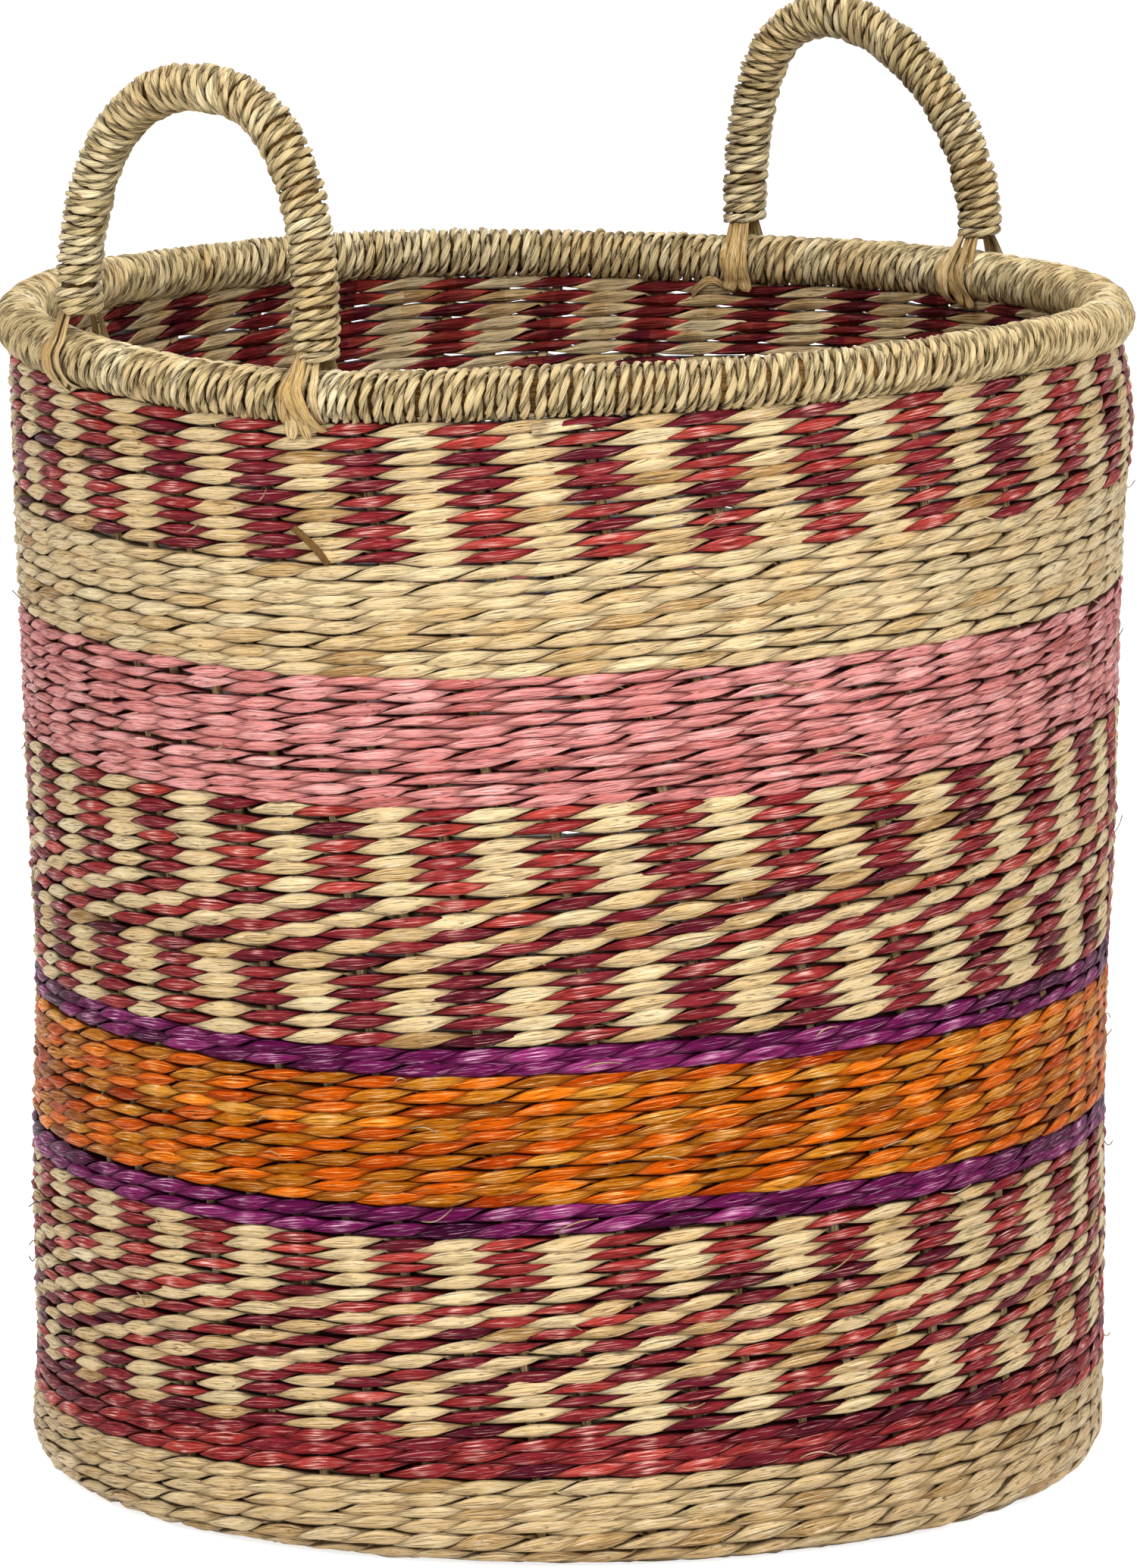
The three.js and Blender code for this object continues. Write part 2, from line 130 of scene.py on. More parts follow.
HAND_WAVES = [(1, 3, 9), (0.7, 5, -31), (0.5, 2, 47)]  # shares of that, waves round, radians per metre up

wall_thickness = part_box("base")[1].z
bend_top = wall_thickness / 2 + BEND_RADIUS
wall_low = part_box("natural_foot_band")[1]
wall_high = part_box("checks_top_band")[1]
wall_flare = (wall_high.x - wall_low.x) / (wall_high.z - wall_low.z)
upright_radius = wall_low.x - wall_flare * (wall_low.z - bend_top) - wall_thickness / 2
bend_centre = upright_radius - BEND_RADIUS
corner_rise = BEND_RADIUS * math.pi / 2
wall_rise = wall_high.z - bend_top
foot_rise = wall_low.z - bend_top
top_band_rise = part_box("checks_top_band")[0].z - bend_top
base_edge_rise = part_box("base")[1].x - bend_centre - corner_rise
stake_top_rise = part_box("stakes")[1].z - bend_top


def ease(share):
    share = np.clip(share, 0, 1)
    return share * share * (3 - 2 * share)


def turn_from(angle, degrees):
    """How far a plan angle lies round from another, which is given in degrees from the camera's."""
    return (angle - CAMERA_PLAN_ANGLE - math.radians(degrees) + math.pi) % (2 * math.pi) - math.pi


def swell(angle, at, half_width):
    """1 at a plan angle, in degrees from the camera's, and fading to 0 on both sides of it."""
    return np.exp(-(turn_from(angle, at) / math.radians(half_width)) ** 2)


def rim_sag(angle):
    """How far the rim rides above its even height, or hangs below it."""
    return sum(height * swell(angle, at, half_width) for height, at, half_width in RIM_SAGS)


def rim_pull(angle):
    return RIM_PULL * swell(angle, *RIM_PULL_PLACE)


def lean(rise):
    """How far round the wall a stake has gone at a rise, which is its length above the wall's foot."""
    drop = wall_rise - np.clip(rise, base_edge_rise, wall_rise)
    return LEAN_AT_TOP + LEAN_PER_METRE * drop - LEAN_EASING * drop ** 2


def in_wall(angle, rise, outward):
    """Points in the wall or base, at plan angles, rises along its middle and distances out from it."""
    from_corner = ease((rise - base_edge_rise) / (foot_rise - base_edge_rise))
    slope = ROW_SLOPE * from_corner * ease((wall_rise - rise) / SLOPE_FADE)
    rise = rise + slope * upright_radius * np.sin(angle - CAMERA_PLAN_ANGLE)
    sag = -(ROW_SAG + ROW_SAG_GROWTH * rise) * ease((rise - ROW_SAG_RISE) / ROW_SAG_RISE)
    sag = sag * swell(angle, *ROW_SAG_PLACE)
    to_rim = np.clip((rise - top_band_rise) / (wall_rise - top_band_rise), 0, 1)
    rise = rise + sag + to_rim * (rim_sag(angle) + TOP_REACH - sag)
    turn = np.clip(rise / BEND_RADIUS, -math.pi / 2, 0)
    flat = np.minimum(rise + corner_rise, 0)
    up = np.maximum(rise, 0)
    pressed = np.exp(-((rise - DRAWN_IN_RISE) / DRAWN_IN_HALF_HEIGHT) ** 2)
    outward = outward - DRAWN_IN * swell(angle, *DRAWN_IN_PLACE) * pressed
    shoulder = np.exp(-((rise - top_band_rise - SHOULDER_RISE) / SHOULDER_HALF_HEIGHT) ** 2)
    outward = outward + rim_pull(angle) * (SHOULDER_SHARE * shoulder - to_rim ** 3)
    side = np.sin(math.pi * np.clip(rise / wall_rise, 0, 1))
    stray = sum(share * np.sin(around * angle + upwards * rise) for share, around, upwards in HAND_WAVES)
    radius = bend_centre + BEND_RADIUS * np.cos(turn) + flat + wall_flare * up
    radius = radius + side * (HAND_STRAY * stray - BOW)
    full_above = 1 - ease((rise + corner_rise / 2) / FOOT_BULGE_HEIGHT)
    fullness = np.where(turn < -math.pi / 4, np.sin(-2 * turn), full_above)
    radius = radius + outward * np.cos(turn) + FOOT_BULGE * fullness * swell(angle, *FOOT_BULGE_PLACE)
    height = np.maximum(bend_top + BEND_RADIUS * np.sin(turn) + up + outward * np.sin(turn), FLOOR_CLEARANCE)
    return np.stack([radius * np.cos(angle), radius * np.sin(angle), height], axis=-1)


def varied(random, places, period, side=0, sides=1):
    """Random values from -1 to 1 at whole places, eased between them, the same again after a period."""
    values = random.uniform(-1, 1, (sides, period))
    before = np.floor(places).astype(int)
    share = ease(places - before)
    return values[side, before % period] * (1 - share) + values[side, (before + 1) % period] * share


def ribbon(around, half_width, half_thickness, folds, facing):
    """The section of a flat strand, as places outwards and sideways. folds moves its faces in and out,
    and facing is the angle through which it is turned."""
    section = 2 * math.pi * around
    across = half_width * np.sin(section)
    level = np.cos(section)
    through = -half_thickness * (1 + folds) * np.sign(level) * np.abs(level) ** FACE_FLATNESS
    outwards = through * np.cos(facing) - across * np.sin(facing)
    sideways = through * np.sin(facing) + across * np.cos(facing)
    return outwards, sideways


def closing(along, share=0.02):
    """0 at both ends of a strip, so that its two faces meet there, and 1 between them."""
    return np.clip(np.minimum(along, 1 - along) / share, 0, 1)


def side_numbers(around, sides):
    """The number, from 0, of the point that a place from 0 to 1 round a section stands for."""
    return np.rint(around * sides).astype(int) % sides


def strips(count, steps, sides):
    """A mesh of flat strips, steps long and sides wide, and the place of its points along and across
    a strip, from 0 to 1."""
    one = bmesh.new()
    one.loops.layers.uv.new("strand")
    bmesh.ops.create_grid(one, x_segments=steps, y_segments=sides, size=1, calc_uvs=True)
    strip = bpy.data.meshes.new("strip")
    one.to_mesh(strip)
    one.free()
    many = bmesh.new()
    for _ in range(count):
        many.from_mesh(strip)
    mesh = bpy.data.meshes.new("strips")
    many.to_mesh(mesh)
    many.free()
    place = np.empty(len(mesh.vertices) * 3)
    mesh.vertices.foreach_get("co", place)
    place = (place.reshape(count, -1, 3) + 1) / 2
    return mesh, place[..., 0], place[..., 1]


def finish_strips(mesh, points, lengths, around, name, material):
    """Moves the strips' points into place, joins the edges that meet, and makes the piece. Its UV map holds
    the length along a strip, counted in floats, and the share round it."""
    mesh.vertices.foreach_set("co", np.ascontiguousarray(points, dtype=np.float64).ravel())
    corners = np.empty(len(mesh.loops), dtype=np.int32)
    mesh.loops.foreach_get("vertex_index", corners)
    places = np.stack([np.ravel(lengths), np.ravel(around)], axis=-1)
    mesh.uv_layers.active.uv.foreach_set("vector", places[corners].ravel())
    joined = bmesh.new()
    joined.from_mesh(mesh)
    bmesh.ops.remove_doubles(joined, verts=joined.verts, dist=1e-6)
    bmesh.ops.recalc_face_normals(joined, faces=joined.faces)
    joined.to_mesh(mesh)
    joined.free()
    mesh.name = name
    mesh.shade_smooth()
    mesh.set_sharp_from_angle(angle=EDGE_ANGLE)
    mesh.materials.append(material)
    piece = bpy.data.objects.new(name, mesh)
    bpy.context.scene.collection.objects.link(piece)
    return piece


class Value:
    """A socket's value in a material. Sums, differences and products of values add Math nodes."""

    def __init__(self, shader, socket):
        self.shader = shader
        self.socket = socket

    def maths(self, operation, *others):
        return self.shader.node("ShaderNodeMath", {"operation": operation}, dict(enumerate([self, *others])))

    def __add__(self, other):
        return self.maths("ADD", other)

    def __sub__(self, other):
        return self.maths("SUBTRACT", other)

    def __rsub__(self, other):
        return self.maths("MULTIPLY_ADD", -1, other)

    def __mul__(self, other):
        return self.maths("MULTIPLY", other)

    __radd__ = __add__
    __rmul__ = __mul__


class Shader:
    """The nodes of a material or a world."""

    def __init__(self, owner):
        self.owner = owner
        owner.use_nodes = True
        self.tree = owner.node_tree
        self.tree.nodes.clear()

    def node(self, kind, settings=None, inputs=None, output=0):
        node = self.tree.nodes.new(kind)
        for key, value in (settings or {}).items():
            if key == "stops":
                for _ in range(len(value) - 2):
                    node.color_ramp.elements.new(0.5)
                for element, (position, colour) in zip(node.color_ramp.elements, value):
                    element.position = position
                    element.color = colour
            else:
                setattr(node, key, value)
        for key, value in (inputs or {}).items():
            socket = node.inputs[key]
            if isinstance(value, Value):
                self.tree.links.new(value.socket, socket)
            else:
                socket.default_value = value
        return Value(self, node.outputs[output])

    def mix(self, share, first, second):
        return self.node("ShaderNodeMix", {"data_type": "RGBA"}, {0: share, 6: first, 7: second}, output=2)

    def range(self, value, low, high):
        """0 where the value is at low, 1 at high, and smooth between them."""
        return self.node("ShaderNodeMapRange", {"interpolation_type": "SMOOTHSTEP"},
                         {"Value": value, "From Min": low, "From Max": high})

    def noise(self, vector, detail=2):
        return self.node("ShaderNodeTexNoise", {}, {"Vector": vector, "Scale": 1, "Detail": detail})

    def vector(self, x, y, z):
        return self.node("ShaderNodeCombineXYZ", {}, {"X": x, "Y": y, "Z": z})

    def surface(self, skin, kind="ShaderNodeOutputMaterial"):
        end = self.tree.nodes.new(kind)
        self.tree.links.new(skin.socket, end.inputs["Surface"])
        return self.owner


def screen_colour(red, green, blue):
    """A colour given in steps of 0 to 255, as a screen shows it, in linear light."""
    shares = [step / 255 for step in (red, green, blue)]
    return (*[s / 12.92 if s <= 0.04045 else ((s + 0.055) / 1.055) ** 2.4 for s in shares], 1)


def seagrass(name, tones, girth, float_length, gloss=0.4, edges=0.75, crossing_shade=0.5, shade=(52, 26, 6),
             wear_and_sheen=0, pale_and_sheen_colour=(240, 229, 206), spots=0.5, spread=0.55, grain=1, shine=0.15,
             edge_shade_width=0.13):
    """Dried seagrass. Fibres and folds run along the strand, and its tone changes slowly and from float to
    float. Painted shade darkens it at its edges, in the creases of its folds and where it crosses another
    strand. A dyed one is rubbed pale where it bends over a stake, and that pale patch is also a painted
    sheen highlight. girth and float_length are in metres, and the width of the painted edge shade is a
    share of the face. shade is the colour of the painted shade and of the dark fibre lines, and the pale
    colour that of the palest fibres, of the rubbed patches with their painted sheen and of reflections.
    The rest say how strong an effect is: smoothness, painted shade at the edges and where strands cross,
    the rubbed patches with their painted sheen, specks, the spread of tones, fibre lines with pale fibres
    and painted fold shade, and reflection."""
    shader = Shader(bpy.data.materials.new(name))
    uv = shader.node("ShaderNodeTexCoord", output=2)
    along = shader.node("ShaderNodeSeparateXYZ", {}, {0: uv}, output=0)
    around = shader.node("ShaderNodeSeparateXYZ", {}, {0: uv}, output=1)
    metres = along * float_length
    fibres = shader.noise(shader.vector(metres * 100, around * (girth * 2100), 3.1), detail=3)
    hairs = shader.noise(shader.vector(metres * 260, around * (girth * 6500), 8.7), detail=1)
    blotches = shader.noise(shader.vector(metres * 130, around * (girth * 420), 5.3))
    folds = shader.noise(shader.vector(metres * 36, around * (girth * 700), 6.4), detail=1)
    crease = (folds - 0.5).maths("ABSOLUTE")
    slow = shader.noise(shader.vector(metres * 4.5, 1.7, 0), detail=1)
    number = along.maths("FLOOR")
    chance = shader.node("ShaderNodeTexWhiteNoise", {"noise_dimensions": "1D"}, {"W": number + 0.5})
    tone = slow * 1.7 + chance * spread + fibres * 0.5 - 0.35 - spread
    stops = [(i / (len(tones) - 1), screen_colour(*colour)) for i, colour in enumerate(tones)]
    colour = shader.node("ShaderNodeValToRGB", {"stops": stops}, {"Fac": tone})
    # The shade colour, for the dark fibre lines and for the painted shade below.
    dark = shader.mix(0.85, colour, screen_colour(*shade))
    lines = shader.range(fibres, 0.42, 0.35)
    fine_lines = shader.range(hairs, 0.41, 0.33)
    # Fibre lines are the straw's own dark fibres; fold lines are painted shade in the folds' creases.
    painted_fold_shade = shader.range(crease, 0.022, 0.008)
    fibre_lines_and_fold_shade = lines * 0.6 + fine_lines * 0.4 + painted_fold_shade * 0.65
    palest = screen_colour(*pale_and_sheen_colour)
    colour = shader.mix(shader.range(fibres, 0.56, 0.64) * (0.4 * grain), colour, palest)
    colour = shader.mix(fibre_lines_and_fold_shade * grain, colour, dark)
    specks = shader.noise(shader.vector(metres * 420, around * (girth * 1500), 2.2), detail=1)
    colour = shader.mix(shader.range(specks, 0.70, 0.78) * spots, colour, screen_colour(88, 56, 26))
    bend = (along.maths("FRACT") - 0.5 + (blotches - 0.5) * 0.3).maths("ABSOLUTE")
    # Rubbed pale at the top of each bend over a stake; that pale patch is also a painted sheen highlight.
    if wear_and_sheen:
        wear_and_sheen_mask = shader.range(chance, 0.3, 0.9) * shader.range(fibres, 0.45, 0.65) * wear_and_sheen
        crest_wear_and_sheen = shader.range(bend, 0.12, 0.0) * wear_and_sheen_mask
        colour = shader.mix(crest_wear_and_sheen, colour, palest)
    # Painted shade at the strand's edges and where it crosses another strand.
    edge = ((around * 2).maths("FRACT") - 0.5).maths("ABSOLUTE")
    painted_shade = shader.range(edge, edge_shade_width, 0.0) * edges + shader.range(bend, 0.16, 0.38) * crossing_shade
    colour = shader.mix(painted_shade, colour, dark)
    roughness = 0.62 - gloss * 0.34 + lines * 0.2 + (blotches - 0.5) * 0.25
    height = fibres * 0.6 + hairs * 0.25 + blotches * 0.4 + crease * 2.2 - lines * 0.4
    normal = shader.node("ShaderNodeBump", {}, {"Strength": 0.8, "Distance": 0.0007, "Height": height})
    skin = shader.node("ShaderNodeBsdfPrincipled", {}, {
        "Base Color": colour, "Roughness": roughness, "Normal": normal, "Specular IOR Level": shine,
        "Specular Tint": palest})
    return shader.surface(skin)


STRAW_TONES = [(166, 128, 77), (202, 170, 118), (215, 188, 141), (210, 186, 139), (224, 203, 160)]
STRAW_GIRTH = 0.011
wall_float = 2 * upright_radius * STAKE_SPACING  # length from one outer bend of a strand to the next
STAKE_LENGTH = 0.05  # of one tone along a stake
STAKE_TONES = 20  # how many tones apart two stakes are on the UV map
straw = seagrass("natural_seagrass", STRAW_TONES, STRAW_GIRTH, wall_float, edges=0.62)
stake_straw = seagrass("stake_seagrass", STRAW_TONES[:3], STRAW_GIRTH, STAKE_LENGTH, gloss=0.2,
                       crossing_shade=0, edges=0.7)


def stakes(name, count, from_rise, to_rise):
    """Stakes from one rise to another, evenly round the basket."""
    mesh, along, around = strips(count, STAKE_STEPS, STAKE_SIDES)
    rise = from_rise + (to_rise - from_rise) * along
    middle = bend_centre + corner_rise + np.minimum(rise, 0)
    numbers = np.arange(count)[:, None]
    inwards, across = ribbon(around, STAKE_HALF_WIDTH, STAKE_HALF_THICKNESS * closing(along), 0, 0)
    angle = numbers * 2 * math.pi / count + lean(rise) + across / middle
    lengths = rise / STAKE_LENGTH + STAKE_TONES * numbers
    piece = finish_strips(mesh, in_wall(angle, rise, inwards), lengths, around, name, stake_straw)
    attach(piece, "basket")
    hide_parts("stakes")


OUTER_BASE_RADIUS = 0.086  # inside this, half of the base's spokes are left
radius_to_rise = -(bend_centre + corner_rise)
stakes("upright_stakes", STAKES, OUTER_BASE_RADIUS + radius_to_rise, stake_top_rise)


# Woven wall. Each row is a pair of seagrass strands that pass on either side of a stake and twist half
# round each other before the next one. A strand shows on every other stake as a long slanting float,
# whose pointed ends lie along those of its neighbours.
FLOAT_STEPS = 7  # along a strand, from stake to stake
FACE_POINTS = 4  # across a strand's outer face, and as many across its inner face
STRAND_SIDES = 2 * FACE_POINTS
EDGE_DROP = 0.0011  # how far a float's edges lie below its middle
FOLD = 0.0005  # how far its faces are folded in and out
FOLD_SHIFT = 0.1  # how far a fold may lie to one side, as a share of the face
ROLL = 0.0005  # how far one edge may stand out over the other
TWIST = 0.0006  # how far the lower edge stands out over the upper one towards the float's right end
PLACE_UNEVENNESS = 0.12  # how far a float may begin too early or late, in stake spaces
GIRTH_UNEVENNESS = 0.13  # how much thicker or thinner a strand may get
ROW_UNEVENNESS = 0.0004  # how far a strand may lie above or below its row
DRIFT = 0.0005  # how far whole rows wander up and down
DRIFT_TURN = 300  # how fast that changes from row to row, in radians per metre
DRIFT_FADE = 0.02  # the height below the rim over which they stop doing so
SLIDE = (195, 65)  # the plan angle where a slanting row starts to gain a stake, and over how many degrees
SLIDE_BACK = (300, 55)  # where it starts to lose it again
BOTH = (0, 1)  # the strands of a row
FIRST = (0,)
SECOND = (1,)
FULL = 1.06  # the height of a strand that presses on the rows above and below, as a share of its row's
SLIM = 0.88

chance = np.random.default_rng(62)


def float_face(phase):
    """The outer face of a strand at a phase, which is 0 where it passes outside a stake and 1 inside the
    next one: its distance out, and its lower and upper edge, as shares of the most that they can be."""
    phases = [-1, -0.75, -0.5, -0.25, 0, 0.25, 0.5, 0.75, 1]
    out = np.interp(phase, phases, [-0.5, 0.75, 0.93, 0.98, 1, 0.98, 0.93, 0.75, -0.5], period=2)
    edge = [1, -0.74, 0.04, 0.72, 1.04, 1.08, 0.98, 0.78, 1]
    upper = np.interp(phase, phases, edge, period=2)
    lower = -np.interp(-phase, phases, edge, period=2)
    return out, lower, upper


def twined(phase, around, half_height, place, period, unevenness):
    """Points of a strand's section, as distances out of the wall and up from the row's middle, and the
    share round the strand for its UV map."""
    number = side_numbers(around, STRAND_SIDES)
    outer = number < FACE_POINTS
    sign = np.where(outer, 1, -1)
    share = np.where(outer, number, STRAND_SIDES - 1 - number) / (FACE_POINTS - 1)
    inner_point = (share > 0) & (share < 1)
    own_phase = np.where(outer, phase, phase - 1)
    own_share = np.where(outer, share, 1 - share)
    out, lower, upper = float_face(own_phase)
    shift = FOLD_SHIFT * inner_point * varied(chance, place, period, number, STRAND_SIDES)
    up = sign * (lower + (upper - lower) * (own_share + shift))
    tall = (upper - lower) / 2
    fold = FOLD * inner_point * varied(chance, place, period, number, STRAND_SIDES)
    roll = ROLL * unevenness * (2 * share - 1) * varied(chance, place, period)
    twist = TWIST * (2 * own_share - 1) * np.sin(math.pi * own_phase)
    drop = tall * (np.where(inner_point, 0, EDGE_DROP) - fold - roll + twist)
    face = np.where(outer, 0.25 + 0.5 * share, 1.25 - 0.5 * share) + (around > 0.99)
    return sign * (wall_thickness / 2 * out - drop), half_height * up, face


def woven_row(along, around, start, turn, rise, pitch, fill, slide, unevenness):
    """Points of one strand of a row, and their places on its UV map. turn is 0 or 1 for a strand that is
    outside at even or at odd stakes, and fill is its height as a share of the row's."""
    place = start + STAKES * along
    angle = lean(rise) + place * STAKE_SPACING
    phase = place + turn + slide * row_slide(angle)
    uneven_phase = phase + PLACE_UNEVENNESS * unevenness * varied(chance, place, STAKES)
    half_height = pitch / 2 * fill * (1 + GIRTH_UNEVENNESS * unevenness * varied(chance, place, STAKES))
    out, up, face = twined(uneven_phase, around, half_height, place, STAKES, unevenness)
    up = up + ROW_UNEVENNESS * unevenness * varied(chance, place, STAKES)
    drift = DRIFT * np.sin(2 * angle + DRIFT_TURN * rise) * ease((wall_rise - rise) / DRIFT_FADE)
    return in_wall(angle, rise + up + drift, out), phase / 2 + 0.5, face


def row_slide(angle):
    """Some rows gain one stake across the front, and lose it again further round."""
    degrees = (np.degrees(angle) + 360) % 360
    return ease((degrees - SLIDE[0]) / SLIDE[1]) - ease((degrees - SLIDE_BACK[0]) / SLIDE_BACK[1])


def band_rises(node):
    """The rises where a band begins and ends."""
    low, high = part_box(node)
    return low.z - bend_top, high.z - bend_top


def woven_piece(name, node, material, rows, strands=BOTH, fill=FULL, unevenness=1, rises=None):
    """A band's strands of one colour, between its own rises or others. rows gives, from the lowest up, the
    turn of each row's first strand and its slide. strands picks the first strand of each row, the second,
    or both."""
    low_rise, high_rise = rises or band_rises(node)
    pitch = (high_rise - low_rise) / len(rows)
    mesh, along, around = strips(len(rows) * len(strands), STAKES * FLOAT_STEPS, STRAND_SIDES)
    points = []
    lengths = []
    faces = []
    for number, (first_turn, slide) in enumerate(rows):
        rise = low_rise + (number + 0.5) * pitch
        for strand in strands:
            turn = (first_turn + strand) % 2
            start = 2 * int(chance.integers(STAKES // 2)) + 1 - turn
            here = len(points)
            row = woven_row(along[here], around[here], start, turn, rise, pitch, fill, slide, unevenness)
            points.append(row[0])
            lengths.append(row[1] + STAKES * here)
            faces.append(row[2])
    piece = finish_strips(mesh, points, lengths, faces, name, material)
    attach(piece, "basket")
    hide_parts(node)


def wall_rows(turns, slides=None):
    """Rows from a string of their turns, written from the highest row down as they are seen, and another
    of their slides."""
    slides = slides or "0" * len(turns)
    return [(int(turn), int(slide)) for turn, slide in zip(turns, slides)][::-1]


# Natural foot band. Eight rows of straw, in darker tones than the other natural rows, close the corner
# between the base and the wall, and the first two of them lie under it.
FOOT_TONES = [(150, 114, 66), (184, 152, 102), (202, 173, 126), (197, 171, 124), (212, 188, 145)]
foot_straw = seagrass("foot_seagrass", FOOT_TONES, STRAW_GIRTH, wall_float)
woven_piece("foot_band_weave", "natural_foot_band", foot_straw, wall_rows("00000000"),
            rises=(base_edge_rise, foot_rise))


# Dark red stripe. Three rows of seagrass dyed dark red, twined round the stakes above the foot band. The
# dye is rubbed pale where the strands bend, and that pale patch is also a painted sheen highlight.
RED_TONES = [(78, 18, 34), (116, 32, 42), (150, 46, 44), (188, 72, 60)]
red = seagrass("red_seagrass", RED_TONES, 0.009, wall_float, gloss=0.55, edges=1, crossing_shade=0.8,
               shade=(30, 2, 2), wear_and_sheen=1, pale_and_sheen_colour=(228, 176, 164), spots=0.2, shine=0.05)
woven_piece("dark_red_band_weave", "dark_red_band", red, wall_rows("010"))


# Checked bands. One strand of each pair is red and the other natural, so the colours stand in columns,
# and where the weaver changed over, a few rows run in slants.
checked_bands = [
    ("checks_lower_band", "000001010101111", "000001111100000"),
    ("checks_middle_band", "0000000101000000", None),
    ("checks_top_band", "0000000000", None),
]
for node, turns, slides in checked_bands:
    rows = wall_rows(turns, slides)
    woven_piece(node + "_red_weave", node, red, rows, FIRST, SLIM)
    woven_piece(node + "_natural_weave", node, straw, rows, SECOND)


# Purple stripes. Two rows of purple seagrass each, one stripe under the orange band and one over it,
# twined like the rest of the wall.
PURPLE_TONES = [(52, 6, 36), (84, 14, 60), (114, 26, 82), (150, 50, 112)]
purple = seagrass("purple_seagrass", PURPLE_TONES, 0.01, wall_float, gloss=0.55, edges=1, crossing_shade=0.9,
                  shade=(28, 0, 14), wear_and_sheen=0.9, pale_and_sheen_colour=(222, 168, 196), spots=0.15, shine=0.05)
for node in ("purple_lower_band", "purple_upper_band"):
    woven_piece(node + "_weave", node, purple, wall_rows("01"))


# Orange band. Ten rows, in each of which an orange strand is twined with an ochre one, so that they show
# by turns along the row.
ORANGE_TONES = [(152, 48, 4), (188, 74, 5), (212, 98, 8), (232, 130, 26)]
OCHRE_TONES = [(126, 64, 8), (160, 88, 10), (188, 112, 20), (208, 144, 50)]
ORANGE_SHADE = (70, 14, 0)
orange = seagrass("orange_seagrass", ORANGE_TONES, 0.01, wall_float, gloss=0.6, edges=1, crossing_shade=0.8,
                  shade=ORANGE_SHADE, wear_and_sheen=0.4, pale_and_sheen_colour=(248, 205, 130), spots=0.25, shine=0.05)
ochre = seagrass("ochre_seagrass", OCHRE_TONES, 0.01, wall_float, gloss=0.6, edges=1, crossing_shade=0.8,
                 shade=ORANGE_SHADE, wear_and_sheen=0.4, pale_and_sheen_colour=(240, 210, 150), spots=0.3, shine=0.05)
for name, material, strands in (("orange_weave", orange, FIRST), ("ochre_weave", ochre, SECOND)):
    woven_piece(name, "orange_band", material, wall_rows("0110010110"), strands)


# Pink band. Eleven rows of pink seagrass, with slimmer and less even strands than the other bands have.
# They are twined in the same way.
PINK_TOP_LIFT = 0.0012  # its upper edge lies a little higher than the CAD's
PINK_UNEVENNESS = 1.7  # against the other bands'
PINK_TONES = [(182, 100, 94), (204, 127, 121), (214, 140, 134), (226, 160, 154)]
pink = seagrass("pink_seagrass", PINK_TONES, 0.009, wall_float, gloss=0.55, edges=1, crossing_shade=0.8,
                shade=(70, 10, 8), wear_and_sheen=0.5, pale_and_sheen_colour=(240, 202, 197), spots=0.25, shine=0.06)
low_rise, high_rise = band_rises("pink_band")
woven_piece("pink_band_weave", "pink_band", pink, wall_rows("01001101001"),
            unevenness=PINK_UNEVENNESS, rises=(low_rise, high_rise + PINK_TOP_LIFT))


# Natural band. Eight rows of undyed straw between the pink band and the upper checks. Both strands of
# each pair are natural.
low_rise, high_rise = band_rises("natural_band")
woven_piece("natural_band_weave", "natural_band", straw, wall_rows("01101001"),
            rises=(low_rise + PINK_TOP_LIFT, high_rise))


# Base. It is twined like the wall, round spokes that branch twice on their way out, and starts from
# eight strands that cross at its middle.
INNER_BASE_RADIUS = 0.044  # inside this, a quarter of the spokes are left
HUB_RADIUS = 0.0105
MIDDLE_SPOKES = 32
INNER_SPOKES = 16
BASE_PITCH = 0.0045
BASE_STEPS = 5
BASE_LEVEL = 0.9  # how far the base's faces lie from its middle, as a share of the wall's
BASE_PLACE_UNEVENNESS = 0.07
BASE_GIRTH_UNEVENNESS = 0.1


def base_rings(name, spokes, from_radius, to_radius):
    """Twined rings of the base between two radii, round so many spokes."""
    rows = round((to_radius - from_radius) / BASE_PITCH)
    pitch = (to_radius - from_radius) / rows
    mesh, along, around = strips(rows * 2, spokes * BASE_STEPS, STRAND_SIDES)
    points = []
    lengths = []
    faces = []
    for row in range(rows):
        rise = from_radius + (row + 0.5) * pitch + radius_to_rise
        for turn in BOTH:
            here = len(points)
            place = 2 * int(chance.integers(spokes // 2)) + 1 - turn + spokes * along[here]
            phase = place + turn + BASE_PLACE_UNEVENNESS * varied(chance, place, spokes)
            half_height = pitch / 2 * FULL * (1 + BASE_GIRTH_UNEVENNESS * varied(chance, place, spokes))
            out, up, face = twined(phase, around[here], half_height, place, spokes, 1)
            angle = lean(rise) + place * 2 * math.pi / spokes
            points.append(in_wall(angle, rise + up, out * BASE_LEVEL))
            lengths.append((place + turn) / 2 + 0.5 + spokes * here)
            faces.append(face)
    piece = finish_strips(mesh, points, lengths, faces, name, straw)
    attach(piece, "basket")
    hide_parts("base")


base_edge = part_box("base")[1].x
base_rings("base_outer_rings", STAKES, OUTER_BASE_RADIUS + BASE_PITCH, base_edge)
base_rings("base_middle_rings", MIDDLE_SPOKES, INNER_BASE_RADIUS, OUTER_BASE_RADIUS + BASE_PITCH)
base_rings("base_inner_rings", INNER_SPOKES, HUB_RADIUS, INNER_BASE_RADIUS)
stakes("middle_spokes", MIDDLE_SPOKES, INNER_BASE_RADIUS - BASE_PITCH + radius_to_rise,
       OUTER_BASE_RADIUS + 2 * BASE_PITCH + radius_to_rise)

HUB_PITCH = 0.0045  # between the hub's strands, where they lie side by side
HUB_HALF_WIDTH = 0.0021
HUB_HALF_THICKNESS = 0.0009
HUB_WEAVE = 0.0012  # how far they pass over and under each other
HUB_WOVEN_REACH = 0.014  # how far from the middle they stop doing so
HUB_FAN_REACH = 0.02  # and how far from it they are spread evenly
HUB_FAN_ROUNDING = 0.006


